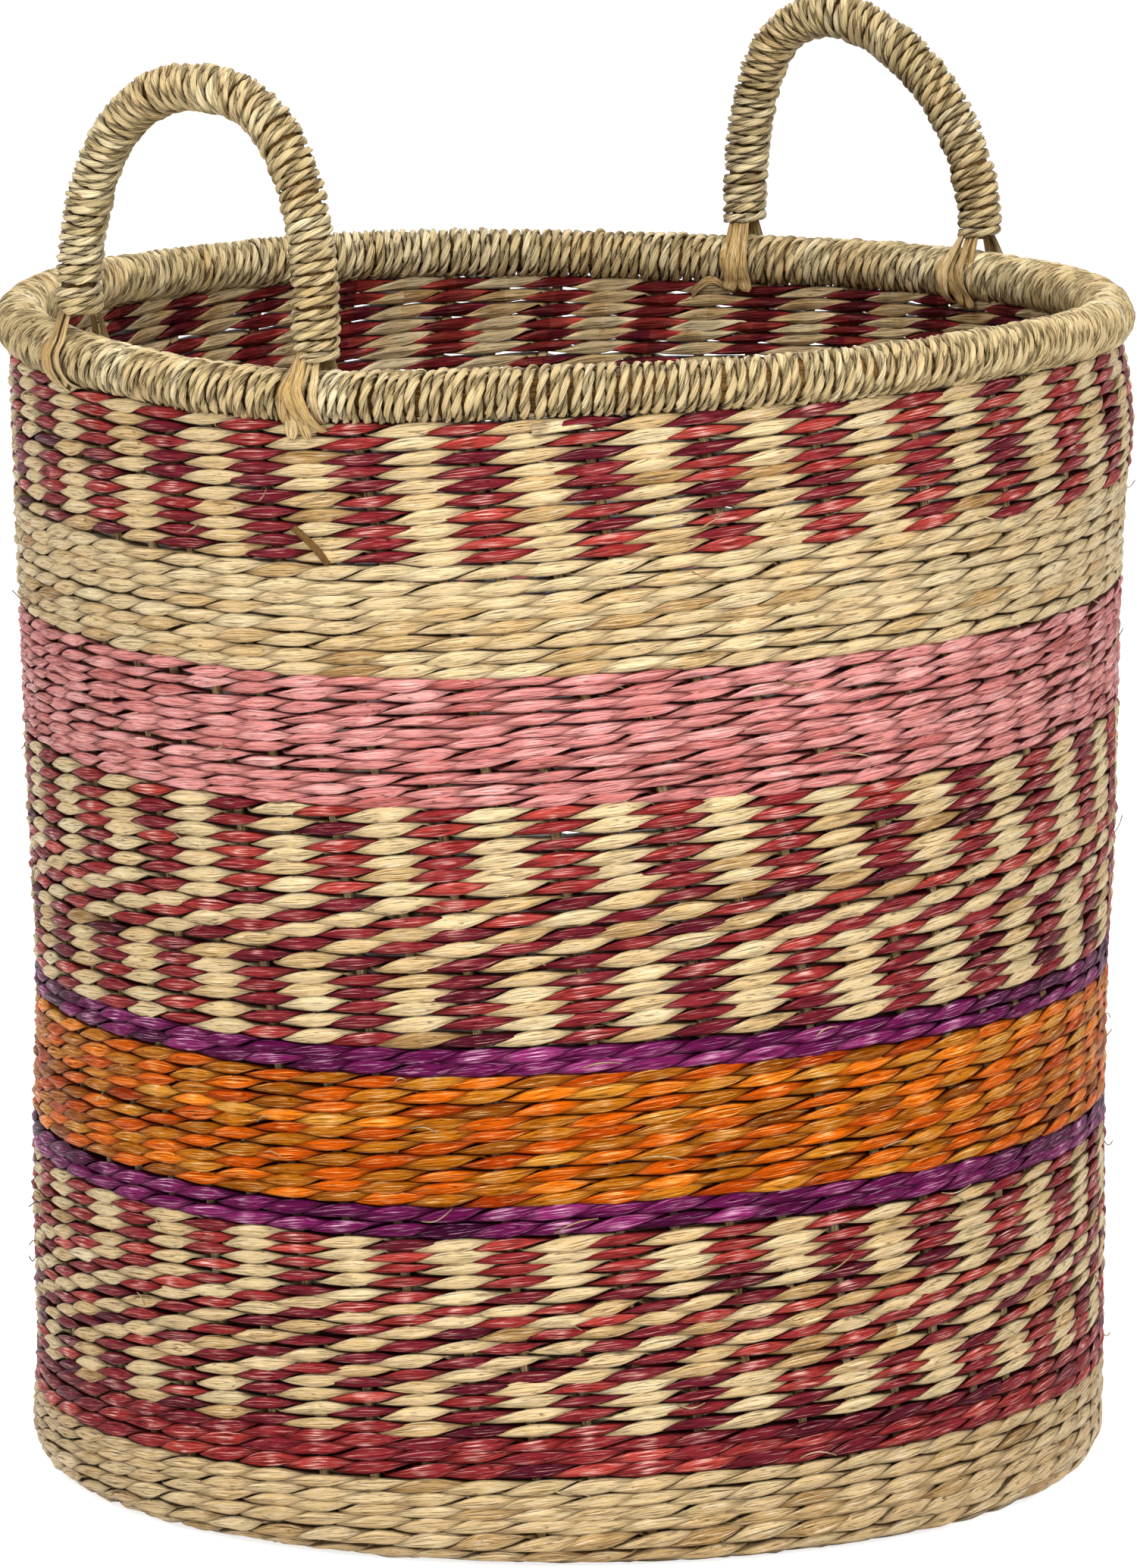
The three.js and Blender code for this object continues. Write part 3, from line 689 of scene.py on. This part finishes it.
def hub_strands():
    """Eight strands, four each way. They lie side by side and woven in the middle, then fan out."""
    reach = INNER_BASE_RADIUS + BASE_PITCH
    count = INNER_SPOKES // 2
    mesh, along, around = strips(count, STAKE_STEPS, STAKE_SIDES)
    points = []
    for number in range(count):
        group, order = divmod(number, count // 2)
        from_middle = order - (count / 2 - 1) / 2
        run = reach * (2 * along[number] - 1)
        fan = math.tan(2 * math.pi / INNER_SPOKES * from_middle) * ease(np.abs(run) / HUB_FAN_REACH)
        side = HUB_PITCH * from_middle + fan * np.sqrt(run ** 2 + HUB_FAN_ROUNDING ** 2)
        weave = HUB_WEAVE * (1 - ease(np.abs(run) / HUB_WOVEN_REACH))
        weave = weave * np.cos(math.pi * (run / HUB_PITCH + order + group))
        thickness = HUB_HALF_THICKNESS * closing(along[number])
        up, across = ribbon(around[number], HUB_HALF_WIDTH, thickness, 0, 0)
        height = wall_thickness / 2 + weave + up
        side = side + across
        x, y = (run, side) if group == 0 else (-side, run)
        points.append(np.stack([x, y, height], axis=-1))
    lengths = 2 * along + STAKE_TONES * np.arange(count)[:, None]
    piece = finish_strips(mesh, points, lengths, around, "base_hub", stake_straw)
    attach(piece, "basket")
    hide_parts("base")


hub_strands()


# Rim. A hoop of seagrass stalks lies on the stakes' heads, and a cord of two loosely twisted strands is
# wound round it some three hundred times. In two places the turns stand apart and the stalks show.
CORD_PITCH = 0.0036
CORD_TWIST = 0.018  # length of cord for one full turn of its strands
CORD_HALF_THICKNESS = 0.00058  # of one strand
CORD_HALF_WIDTH = 0.00125
CORD_FACING = 0.16  # how much further than the twist a strand turns its flat side outwards
CORD_DEPTH = 0.0013  # from the winding's outside to the cord's middle
STRAND_OFFSET = 0.00085  # how far a strand lies from the cord's middle, along the hoop
CORD_STEPS = 30  # round the hoop
CORD_SIDES = 8
TURN_STRAY = 0.13  # how far a turn lies from its even place, in turns
HALF_TURN_STRAY = 0.09
DEPTH_STRAY = 0.0004
TWIST_STRAY = 1.1  # in radians, as the next one is
FACING_STRAY = 0.45
WIDTH_STRAY = 0.25  # as a share, as the next one is
CORD_FOLDS = 0.4
CORD_TONES = [(150, 118, 64), (192, 162, 108), (216, 190, 140), (202, 178, 126), (238, 218, 174)]
RIM_HALF = 0.0086  # of the wound rim's section
RIM_STALKS_HALF = 0.0065
RIM_STALKS_STEPS = 240
RIM_DROP = 0.0008  # its middle hangs a little lower than the hoop's, as the cord is thicker below
RIM_WAVES = 0.0003  # how far it rises and falls from that, seven times round
PARTED = (-4, 31.5)  # where the turns stand apart, in degrees from the camera's plan angle
PARTED_TURN = 0.004  # how far round the nearest turns are pushed there, in radians
PARTED_HALF_WIDTH = 0.006  # of the gap's slopes, in radians too
PARTED_REACH = 0.06  # and how far from it the turns are even again
STALK_SIDES = 16
STALK_RIDGES = 7
RIDGE_HEIGHT = 0.06  # as a share of the bundle's half width

rim_low, rim_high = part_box("rim_binding")
rim_height = (rim_high.z + rim_low.z) / 2
rim_radius = rim_high.x - (rim_high.z - rim_low.z) / 2
cord = seagrass("seagrass_cord", CORD_TONES, 0.012, CORD_TWIST, gloss=0.45, edges=0.9, crossing_shade=0.6,
                shade=(34, 16, 2), spots=0.3, spread=0.2, grain=0.9, edge_shade_width=0.09)
stalks = seagrass("hoop_stalks", [(58, 40, 18), (92, 66, 34), (134, 100, 58)], 0.03, STAKE_LENGTH,
                  gloss=0.2, edges=0, crossing_shade=0, spots=0.6, pale_and_sheen_colour=(128, 96, 58))


def wound_cord(name, strand, turns, line, node, body, seed, closed):
    """One of the two strands of a cord wound round a line. line gives, for shares from 0 to 1, its points,
    two directions square to it, its own direction, and the radius of the cord's outside. A closed line
    joins its own start."""
    random = np.random.default_rng(seed)
    mesh, along, around = strips(1, turns * CORD_STEPS, CORD_SIDES)
    along, around = along[0], around[0]
    halves = 2 * turns
    stray = TURN_STRAY * varied(random, along * turns, turns)
    stray = stray + HALF_TURN_STRAY * varied(random, along * halves, halves)
    point, out, side, forward, radius = line(along + stray / turns)
    winding = 2 * math.pi * turns * along
    away = np.cos(winding)[:, None] * out + np.sin(winding)[:, None] * side
    reach = radius - CORD_DEPTH + DEPTH_STRAY * varied(random, along * halves, halves)
    twists = round(turns * 2 * math.pi * (radius.mean() - CORD_DEPTH) / CORD_TWIST)
    twist = math.pi * (2 * twists * along + strand) + TWIST_STRAY * varied(random, along * halves, halves)
    own = np.random.default_rng(10 * seed + strand)
    facing = twist - CORD_FACING * np.sin(2 * twist)
    facing = facing + FACING_STRAY * varied(own, along * 3 * turns, 3 * turns)
    width = CORD_HALF_WIDTH * (1 + WIDTH_STRAY * varied(own, along * 2 * twists, 2 * twists))
    folds = CORD_FOLDS * varied(own, along * twists, twists, side_numbers(around, CORD_SIDES), CORD_SIDES)
    thickness = CORD_HALF_THICKNESS * (1 if closed else closing(along, 0.001))
    outwards, sideways = ribbon(around, width, thickness, folds, facing)
    outwards = outwards + reach + CORD_HALF_THICKNESS * np.cos(twist)
    sideways = sideways + STRAND_OFFSET * np.sin(twist)
    points = point + outwards[:, None] * away + sideways[:, None] * forward
    piece = finish_strips(mesh, points, twist / (2 * math.pi) + 0.5, around, name, cord)
    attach(piece, body)
    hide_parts(node)


def stalk_bundle(name, steps, line, half, node, body, closed):
    """The stalks under a wound cord, as one ridged bundle."""
    mesh, along, around = strips(1, steps, STALK_SIDES)
    point, out, side, _, _ = line(along[0])
    section = 2 * math.pi * around[0]
    half = half * (1 + RIDGE_HEIGHT * np.cos(STALK_RIDGES * section)) * (1 if closed else closing(along[0]))
    points = point + (half * np.cos(section))[:, None] * out + (half * np.sin(section))[:, None] * side
    piece = finish_strips(mesh, points, along * steps / 10, around, name, stalks)
    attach(piece, body)
    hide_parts(node)


def rim_line(share):
    """The middle line of the rim, as wound_cord takes it."""
    angle = 2 * math.pi * share
    for place in PARTED:
        away = turn_from(angle, place)
        angle = angle + PARTED_TURN * np.tanh(away / PARTED_HALF_WIDTH) * np.exp(-(away / PARTED_REACH) ** 2)
    out = np.stack([np.cos(angle), np.sin(angle), 0 * angle], axis=-1)
    up = np.stack([0 * angle, 0 * angle, 1 + 0 * angle], axis=-1)
    forward = np.stack([-np.sin(angle), np.cos(angle), 0 * angle], axis=-1)
    height = rim_height - RIM_DROP + rim_sag(angle) + RIM_WAVES * np.sin(7 * angle)
    radius = rim_radius - rim_pull(angle)
    return radius[:, None] * out + height[:, None] * up, out, up, forward, RIM_HALF + 0 * angle


rim_turns = round(2 * math.pi * rim_radius / CORD_PITCH)
for strand, name in enumerate(("rim_cord_first_strand", "rim_cord_second_strand")):
    wound_cord(name, strand, rim_turns, rim_line, "rim_binding", "basket", 7, True)
stalk_bundle("rim_stalks", RIM_STALKS_STEPS, rim_line, RIM_STALKS_HALF, "rim_hoop", "basket", True)


# Handles. Each arch is a bundle of stalks wound with the same cord. It stands in its own upright plane
# over two feet on the rim. The left one is squarer, and the right one leans towards its back foot.
HANDLE_HALF = 0.0077  # of the wound arch's section
HANDLE_STALKS_HALF = 0.0056
HANDLE_STALKS_STEPS = 60
HANDLE_PITCH = 0.0034
# Drops are how far the wound legs reach below the tilt axis, and lean is towards the back foot.
arches = {
    "left": {"span": 0.1066, "rise": 0.0745, "squareness": 2.35, "lean": -0.0036,
             "front_drop": 0.0063, "back_drop": 0.0013},
    "right": {"span": 0.096, "rise": 0.0705, "squareness": 2.05, "lean": 0.013,
              "front_drop": 0.0016, "back_drop": 0.0024},
}
joints = {joint["name"]: joint for joint in frame["joints"]}


def arch_directions(side_name):
    """The middle of an arch's tilt axis, and the directions outwards and towards the back foot."""
    pivot = np.array(joints["handle_" + side_name + "_tilt"]["pos_m"])
    out = np.array([pivot[0], pivot[1], 0]) / math.hypot(pivot[0], pivot[1])
    return pivot, out, np.array([-out[1], out[0], 0]) * math.copysign(1, out[0])


def arch_line(side_name):
    """The middle line of an arch, from its front foot to its back foot, as a function of the share along
    it, and its length."""
    arch = arches[side_name]
    half_span = arch["span"] / 2
    power = 2 / arch["squareness"]
    pivot, out, to_back = arch_directions(side_name)
    samples = np.linspace(0, math.pi, 2001)
    up = np.sin(samples) ** power
    across = -half_span * np.sign(np.cos(samples)) * np.abs(np.cos(samples)) ** power
    across = np.concatenate([[-half_span], across + arch["lean"] * up ** 2, [half_span]])
    height = np.concatenate([[-arch["front_drop"]], arch["rise"] * up, [-arch["back_drop"]]])
    points = pivot + across[:, None] * to_back + height[:, None] * [0, 0, 1]
    lengths = np.concatenate([[0], np.cumsum(np.linalg.norm(np.diff(points, axis=0), axis=1))])

    def line(share):
        at = lengths[-1] * share
        point, ahead, behind = [
            np.stack([np.interp(at + step, lengths, points[:, axis]) for axis in range(3)], axis=-1)
            for step in (0, 0.002, -0.002)
        ]
        forward = (ahead - behind) / np.linalg.norm(ahead - behind, axis=1)[:, None]
        outwards = np.broadcast_to(out, point.shape)
        return point, outwards, np.cross(forward, out), forward, HANDLE_HALF + 0 * at

    return line, lengths[-1]


for side_name in arches:
    body = "handle_" + side_name
    line, length = arch_line(side_name)
    turns = round(length / HANDLE_PITCH)
    for strand, name in enumerate((body + "_cord_first_strand", body + "_cord_second_strand")):
        wound_cord(name, strand, turns, line, body + "_binding", body, len(body), False)
    stalk_bundle(body + "_stalks", HANDLE_STALKS_STEPS, line, HANDLE_STALKS_HALF, body + "_core", body,
                 False)


# Lashings. Bare flat strands come out of a handle's wrapping, fan out over the rim on both sides, and end
# tucked under it.
LASHING_STEPS = 28
LASHING_SIDES = 8
LASHING_HALF_THICKNESS = 0.0003
LASHING_LAYER = 0.0006  # how far each strand lies above the one before it
LASHING_FOLDS = 0.7  # as a share of its thickness
LASHING_FOLD_COUNT = 5  # along a strand
LASHING_ROLL = 0.2  # how far it may lie aslant, in radians
LASHING_ROLL_COUNT = 4
LASHING_TAPER = ([0, 0.2, 0.5, 0.93, 1], [0.6, 0.8, 1, 0.95, 0.55])  # shares of its length, and widths there
LASHING_TONES_APART = 7  # two strands of a foot on the UV map
HIDDEN_LENGTH = 0.004  # how far the strands begin inside the wrapping
LANDED = 0.34  # the share of a strand's length at which it lies on the rim
HALF_DOWN = 0.45
LOOSENED = 0.8  # the share at which a loose end leaves the rim
LOOSE_LEAN = 0.25  # how far it leans in to the wall, as a share of how far it hangs down
START_TURN = 83  # how far above the level of the rim's middle a strand starts, in degrees round its section
LOOSE_TURN = -42  # where a loose end leaves it
TUCKED_TURN = -76  # where a tucked end lies
SLANT_RUN = 12  # mm along a strand, from one of the places below to the next
LASHING_TONES = [(146, 110, 58), (180, 146, 90), (200, 168, 112), (218, 192, 144)]
lashing_straw = seagrass("lashing_seagrass", LASHING_TONES, STRAW_GIRTH, STAKE_LENGTH, gloss=0.45, edges=1,
                         crossing_shade=0, spots=0.4, grain=0.8, edge_shade_width=0.1)
# For each foot, the strands outside and inside. Each has its place along the rim where it leaves the
# handle, half way down and at its end, its half width, and how far a loose end hangs down, in mm.
lashing_strands = {
    "left_front": (
        [(2.4, 2.7, 3.8, 1.7, 0), (0.6, -2.6, -6.4, 2.5, 7), (-2.6, -7.0, -7.8, 2.1, 0),
         (-1.8, -4.6, 0.4, 2.3, 6), (-1.4, -1.6, 5.0, 1.9, 0)],
        [(-2.0, -4.5, -6.5, 2.3, 6), (1.5, 3.5, 5.5, 2.3, 5), (0, 0.5, -1.5, 2.4, 9)],
    ),
    "left_back": (
        [(-1.0, -3.2, 0.5, 2.8, 3), (1.8, 0.8, 4.4, 2.6, 0), (-2.2, -6.0, -7.0, 2.7, 0),
         (0.6, -3.4, -1.4, 2.8, 0)],
        [(-1.6, -4.5, -5.5, 2.1, 6), (2.4, 6.5, 8.5, 2.3, 11), (0.5, 1.0, 2.5, 2.2, 5)],
    ),
    "right_front": (
        [(-2.0, -4.5, -6.0, 2.2, 5), (1.8, 3.6, 5.6, 2.2, 6), (0.2, -0.6, 0.6, 2.4, 8)],
        [(-2.4, -4.6, -9.0, 2.6, 0), (2.4, 5.6, 1.5, 2.9, 4), (-1.4, -1.0, -4.0, 2.6, 4),
         (1.0, 6.8, 8.6, 2.9, 0)],
    ),
    "right_back": (
        [(-2.0, -4.0, -5.5, 2.2, 6), (1.5, 3.0, 5.0, 2.2, 5), (0, 0.4, -0.6, 2.4, 7)],
        [(1.8, 4.0, 2.2, 2.7, 0), (-1.8, -1.4, -2.6, 2.7, 4), (0.2, 0.8, 3.6, 2.6, 3)],
    ),
}


def lashing(foot):
    """The strands of one foot. They start inside the wrapping and follow the rim's section down."""
    side_name, end_name = foot.split("_")
    arch = arches[side_name]
    pivot, out, to_back = arch_directions(side_name)
    ahead = to_back * (1 if end_name == "back" else -1)
    foot_point = pivot + ahead * arch["span"] / 2
    foot_angle = math.atan2(foot_point[1], foot_point[0])
    centre_height = rim_height - RIM_DROP + float(rim_sag(np.array(foot_angle)))
    start_reach = pivot[2] - arch[end_name + "_drop"] + HIDDEN_LENGTH - centre_height
    upright = np.array([0, 0, 1])
    outer, inner = lashing_strands[foot]
    mesh, along, around = strips(len(outer) + len(inner), LASHING_STEPS, LASHING_SIDES)
    points = []
    for number, (leaves, middle, end, half_width, hang) in enumerate(outer + inner):
        side = 1 if number < len(outer) else -1
        share = along[number]
        lift = LASHING_HALF_THICKNESS + LASHING_LAYER * (number if side > 0 else number - len(outer))
        last_turn = LOOSE_TURN if hang else TUCKED_TURN
        theta = np.radians(np.interp(share, [0, LOOSENED, 1], [START_TURN, LOOSE_TURN, last_turn]))
        reach = RIM_HALF + lift + (start_reach - RIM_HALF) * (1 - np.clip(share / LANDED, 0, 1)) ** 2
        hanging = np.clip((share - LOOSENED) / (1 - LOOSENED), 0, 1) * 0.001 * hang
        place = 0.001 * np.interp(share, [0, HALF_DOWN, 1], [leaves, middle, end])
        angle = foot_angle + place / rim_radius
        radial = np.stack([np.cos(angle), np.sin(angle), 0 * angle], axis=-1)
        normal = side * np.cos(theta)[:, None] * radial + np.sin(theta)[:, None] * upright
        path = rim_radius * radial + centre_height * upright + reach[:, None] * normal
        path = path - hanging[:, None] * (upright + LOOSE_LEAN * side * radial)
        slants = [middle - leaves, end - leaves, end - middle]
        steepness = np.arctan(np.interp(share, [0, HALF_DOWN, 1], slants) / SLANT_RUN)
        tangent_side = np.stack([-np.sin(angle), np.cos(angle), 0 * angle], axis=-1)
        downwards = side * np.sin(theta)[:, None] * radial - np.cos(theta)[:, None] * upright
        across = np.cos(steepness)[:, None] * tangent_side - np.sin(steepness)[:, None] * downwards
        width = 0.001 * half_width * np.interp(share, *LASHING_TAPER)
        point_numbers = side_numbers(around[number], LASHING_SIDES)
        folds = LASHING_FOLDS * varied(chance, LASHING_FOLD_COUNT * share, LASHING_FOLD_COUNT, point_numbers,
                                       LASHING_SIDES)
        roll = LASHING_ROLL * varied(chance, LASHING_ROLL_COUNT * share, LASHING_ROLL_COUNT)
        thickness = LASHING_HALF_THICKNESS * closing(share)
        through, sideways = ribbon(around[number], width, thickness, folds, roll)
        points.append(path + through[:, None] * normal + sideways[:, None] * across)
    lengths = along + LASHING_TONES_APART * np.arange(len(along))[:, None]
    name = "lashing_" + foot + "_strands"
    piece = finish_strips(mesh, points, lengths, around, name, lashing_straw)
    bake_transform(piece)
    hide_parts(f"lashing_{side_name}_{end_name}")


for foot in lashing_strands:
    lashing(foot)


# Loose ends. Fine torn hairs stand off the wall, a short brown end sticks out of the upper checks, the end
# of a natural strand lies on the top row, and another one curls under the rim at the back.
HAIR_COUNT = 110
HAIR_RISES = (0.03, 0.95)  # as shares of the wall's
HAIR_REACH = (1.5, 4.5)  # round the wall, in degrees
HAIR_CLIMB = (-0.004, 0.006)
HAIR_BEND = 0.002  # how far its middle lies above or below its ends
HAIR_STANDS_OFF = (0.0008, 0.003)
HAIR_ROOT = 0.0005  # how far it begins inside the wall
HAIR_HALF_WIDTH = 0.00022
HAIR_HALF_THICKNESS = 0.0002
LOOSE_STEPS = 10
LOOSE_ROLL = 0.3  # how far a loose strand lies aslant, in radians
LOOSE_TONES_APART = 3
surface = wall_thickness / 2


def loose_strands(name, ends, half_width, half_thickness, material, node=None):
    """Short strands on the wall. ends gives the place of each one's two ends, in degrees from the camera's
    plan angle and as a rise, then how far its middle is lifted, and how far out its two ends are."""
    mesh, along, around = strips(len(ends), LOOSE_STEPS, STAKE_SIDES)
    points = []
    for number, (from_angle, to_angle, from_rise, to_rise, lifted, from_out, to_out) in enumerate(ends):
        share = along[number]
        run = upright_radius * math.radians(to_angle - from_angle)
        climb = to_rise - from_rise
        length = math.hypot(run, climb)
        through, across = ribbon(around[number], half_width, half_thickness * closing(share), 0, LOOSE_ROLL)
        angle = CAMERA_PLAN_ANGLE + np.radians(from_angle + (to_angle - from_angle) * share)
        angle = angle - across * climb / length / upright_radius
        rise = from_rise + climb * share + lifted * np.sin(math.pi * share) + across * run / length
        points.append(in_wall(angle, rise, from_out + (to_out - from_out) * share + through))
    lengths = along + LOOSE_TONES_APART * np.arange(len(along))[:, None]
    piece = finish_strips(mesh, points, lengths, around, name, material)
    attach(piece, "basket")
    if node:
        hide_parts(node)


hair_chance = np.random.default_rng(15)
hairs = []
for _ in range(HAIR_COUNT):
    angle = hair_chance.uniform(-180, 180)
    rise = hair_chance.uniform(*HAIR_RISES) * wall_rise
    reach = hair_chance.uniform(*HAIR_REACH)
    climb = hair_chance.uniform(*HAIR_CLIMB)
    bend = hair_chance.uniform(-HAIR_BEND, HAIR_BEND)
    end_out = surface + hair_chance.uniform(*HAIR_STANDS_OFF)
    hairs.append((angle, angle + reach, rise, rise + climb, bend, surface - HAIR_ROOT, end_out))
loose_strands("loose_hairs", hairs, HAIR_HALF_WIDTH, HAIR_HALF_THICKNESS, straw)
brown_end = (-27.8, -24.4, 0.3262, 0.3152, 0.0008, surface + 0.003, surface + 0.0002)
loose_strands("brown_end", [brown_end], half_width=0.0011, half_thickness=0.0006, material=stalks,
              node="checks_top_band")
cut_end = (-3.7, 2.2, 0.3548, 0.3566, 0, surface + 0.0007, surface - 0.0012)
curled_end = (161.6, 166.2, 0.3555, 0.3535, 0.004, -surface - 0.002, -surface - 0.0005)
loose_strands("natural_ends", [cut_end, curled_end], half_width=0.0018, half_thickness=0.00035,
              material=straw, node="checks_top_band")


# Floor, backdrop and lamps. The basket stands on a large pale floor under an evenly white sky, and four
# square lamps light it softly from both sides, from above and from behind.
FLOOR_SIZE = 40
FLOOR_GLOW = 0.8  # light that the camera sees on the floor, but that falls on nothing
SKY_LEVEL = 0.49
BACKDROP_RAYS = ("Is Camera Ray", "Is Glossy Ray", "Is Transmission Ray")

floor_shader = Shader(bpy.data.materials.new("pale_floor"))
paper = floor_shader.node("ShaderNodeBsdfPrincipled", {}, {
    "Base Color": screen_colour(244, 244, 244), "Roughness": 0.9, "Specular IOR Level": 0.1})
seen = sum(floor_shader.node("ShaderNodeLightPath", output=ray) for ray in BACKDROP_RAYS)
glow = floor_shader.node("ShaderNodeEmission", {}, {"Color": (1, 1, 1, 1), "Strength": seen * FLOOR_GLOW})
floor_material = floor_shader.surface(floor_shader.node("ShaderNodeAddShader", {}, {0: paper, 1: glow}))
sheet = bmesh.new()
bmesh.ops.create_grid(sheet, x_segments=1, y_segments=1, size=FLOOR_SIZE / 2)
floor_mesh = bpy.data.meshes.new("floor")
sheet.to_mesh(floor_mesh)
sheet.free()
floor_mesh.materials.append(floor_material)
floor = bpy.data.objects.new("floor", floor_mesh)
bpy.context.scene.collection.objects.link(floor)

sky = Shader(bpy.data.worlds.new("studio"))
camera_ray, glossy_ray, transmission_ray = [
    sky.node("ShaderNodeLightPath", output=ray) for ray in BACKDROP_RAYS]
seen = camera_ray.maths("MAXIMUM", glossy_ray.maths("MAXIMUM", transmission_ray))
strength = sky.node("ShaderNodeMapRange", {}, {"Value": seen, "To Min": SKY_LEVEL, "To Max": 1})
backdrop = sky.node("ShaderNodeBackground", {}, {"Strength": strength})
bpy.context.scene.world = sky.surface(backdrop, "ShaderNodeOutputWorld")


def softbox(name, plan_angle, elevation, distance, size, watts):
    """A square lamp, at a plan angle from the camera's and an elevation, in degrees."""
    data = bpy.data.lights.new(name, "AREA")
    data.size = size
    data.energy = watts
    face_basket(name, data, CAMERA_PLAN_ANGLE + math.radians(plan_angle), math.radians(elevation), distance)


softbox("softbox_left", plan_angle=-30, elevation=40, distance=2.2, size=0.9, watts=26.5)
softbox("softbox_right", plan_angle=27, elevation=34, distance=2.2, size=0.9, watts=26.5)
softbox("softbox_top", plan_angle=0, elevation=75, distance=2.2, size=1.2, watts=19)
softbox("softbox_back", plan_angle=170, elevation=40, distance=2.4, size=1.2, watts=24)
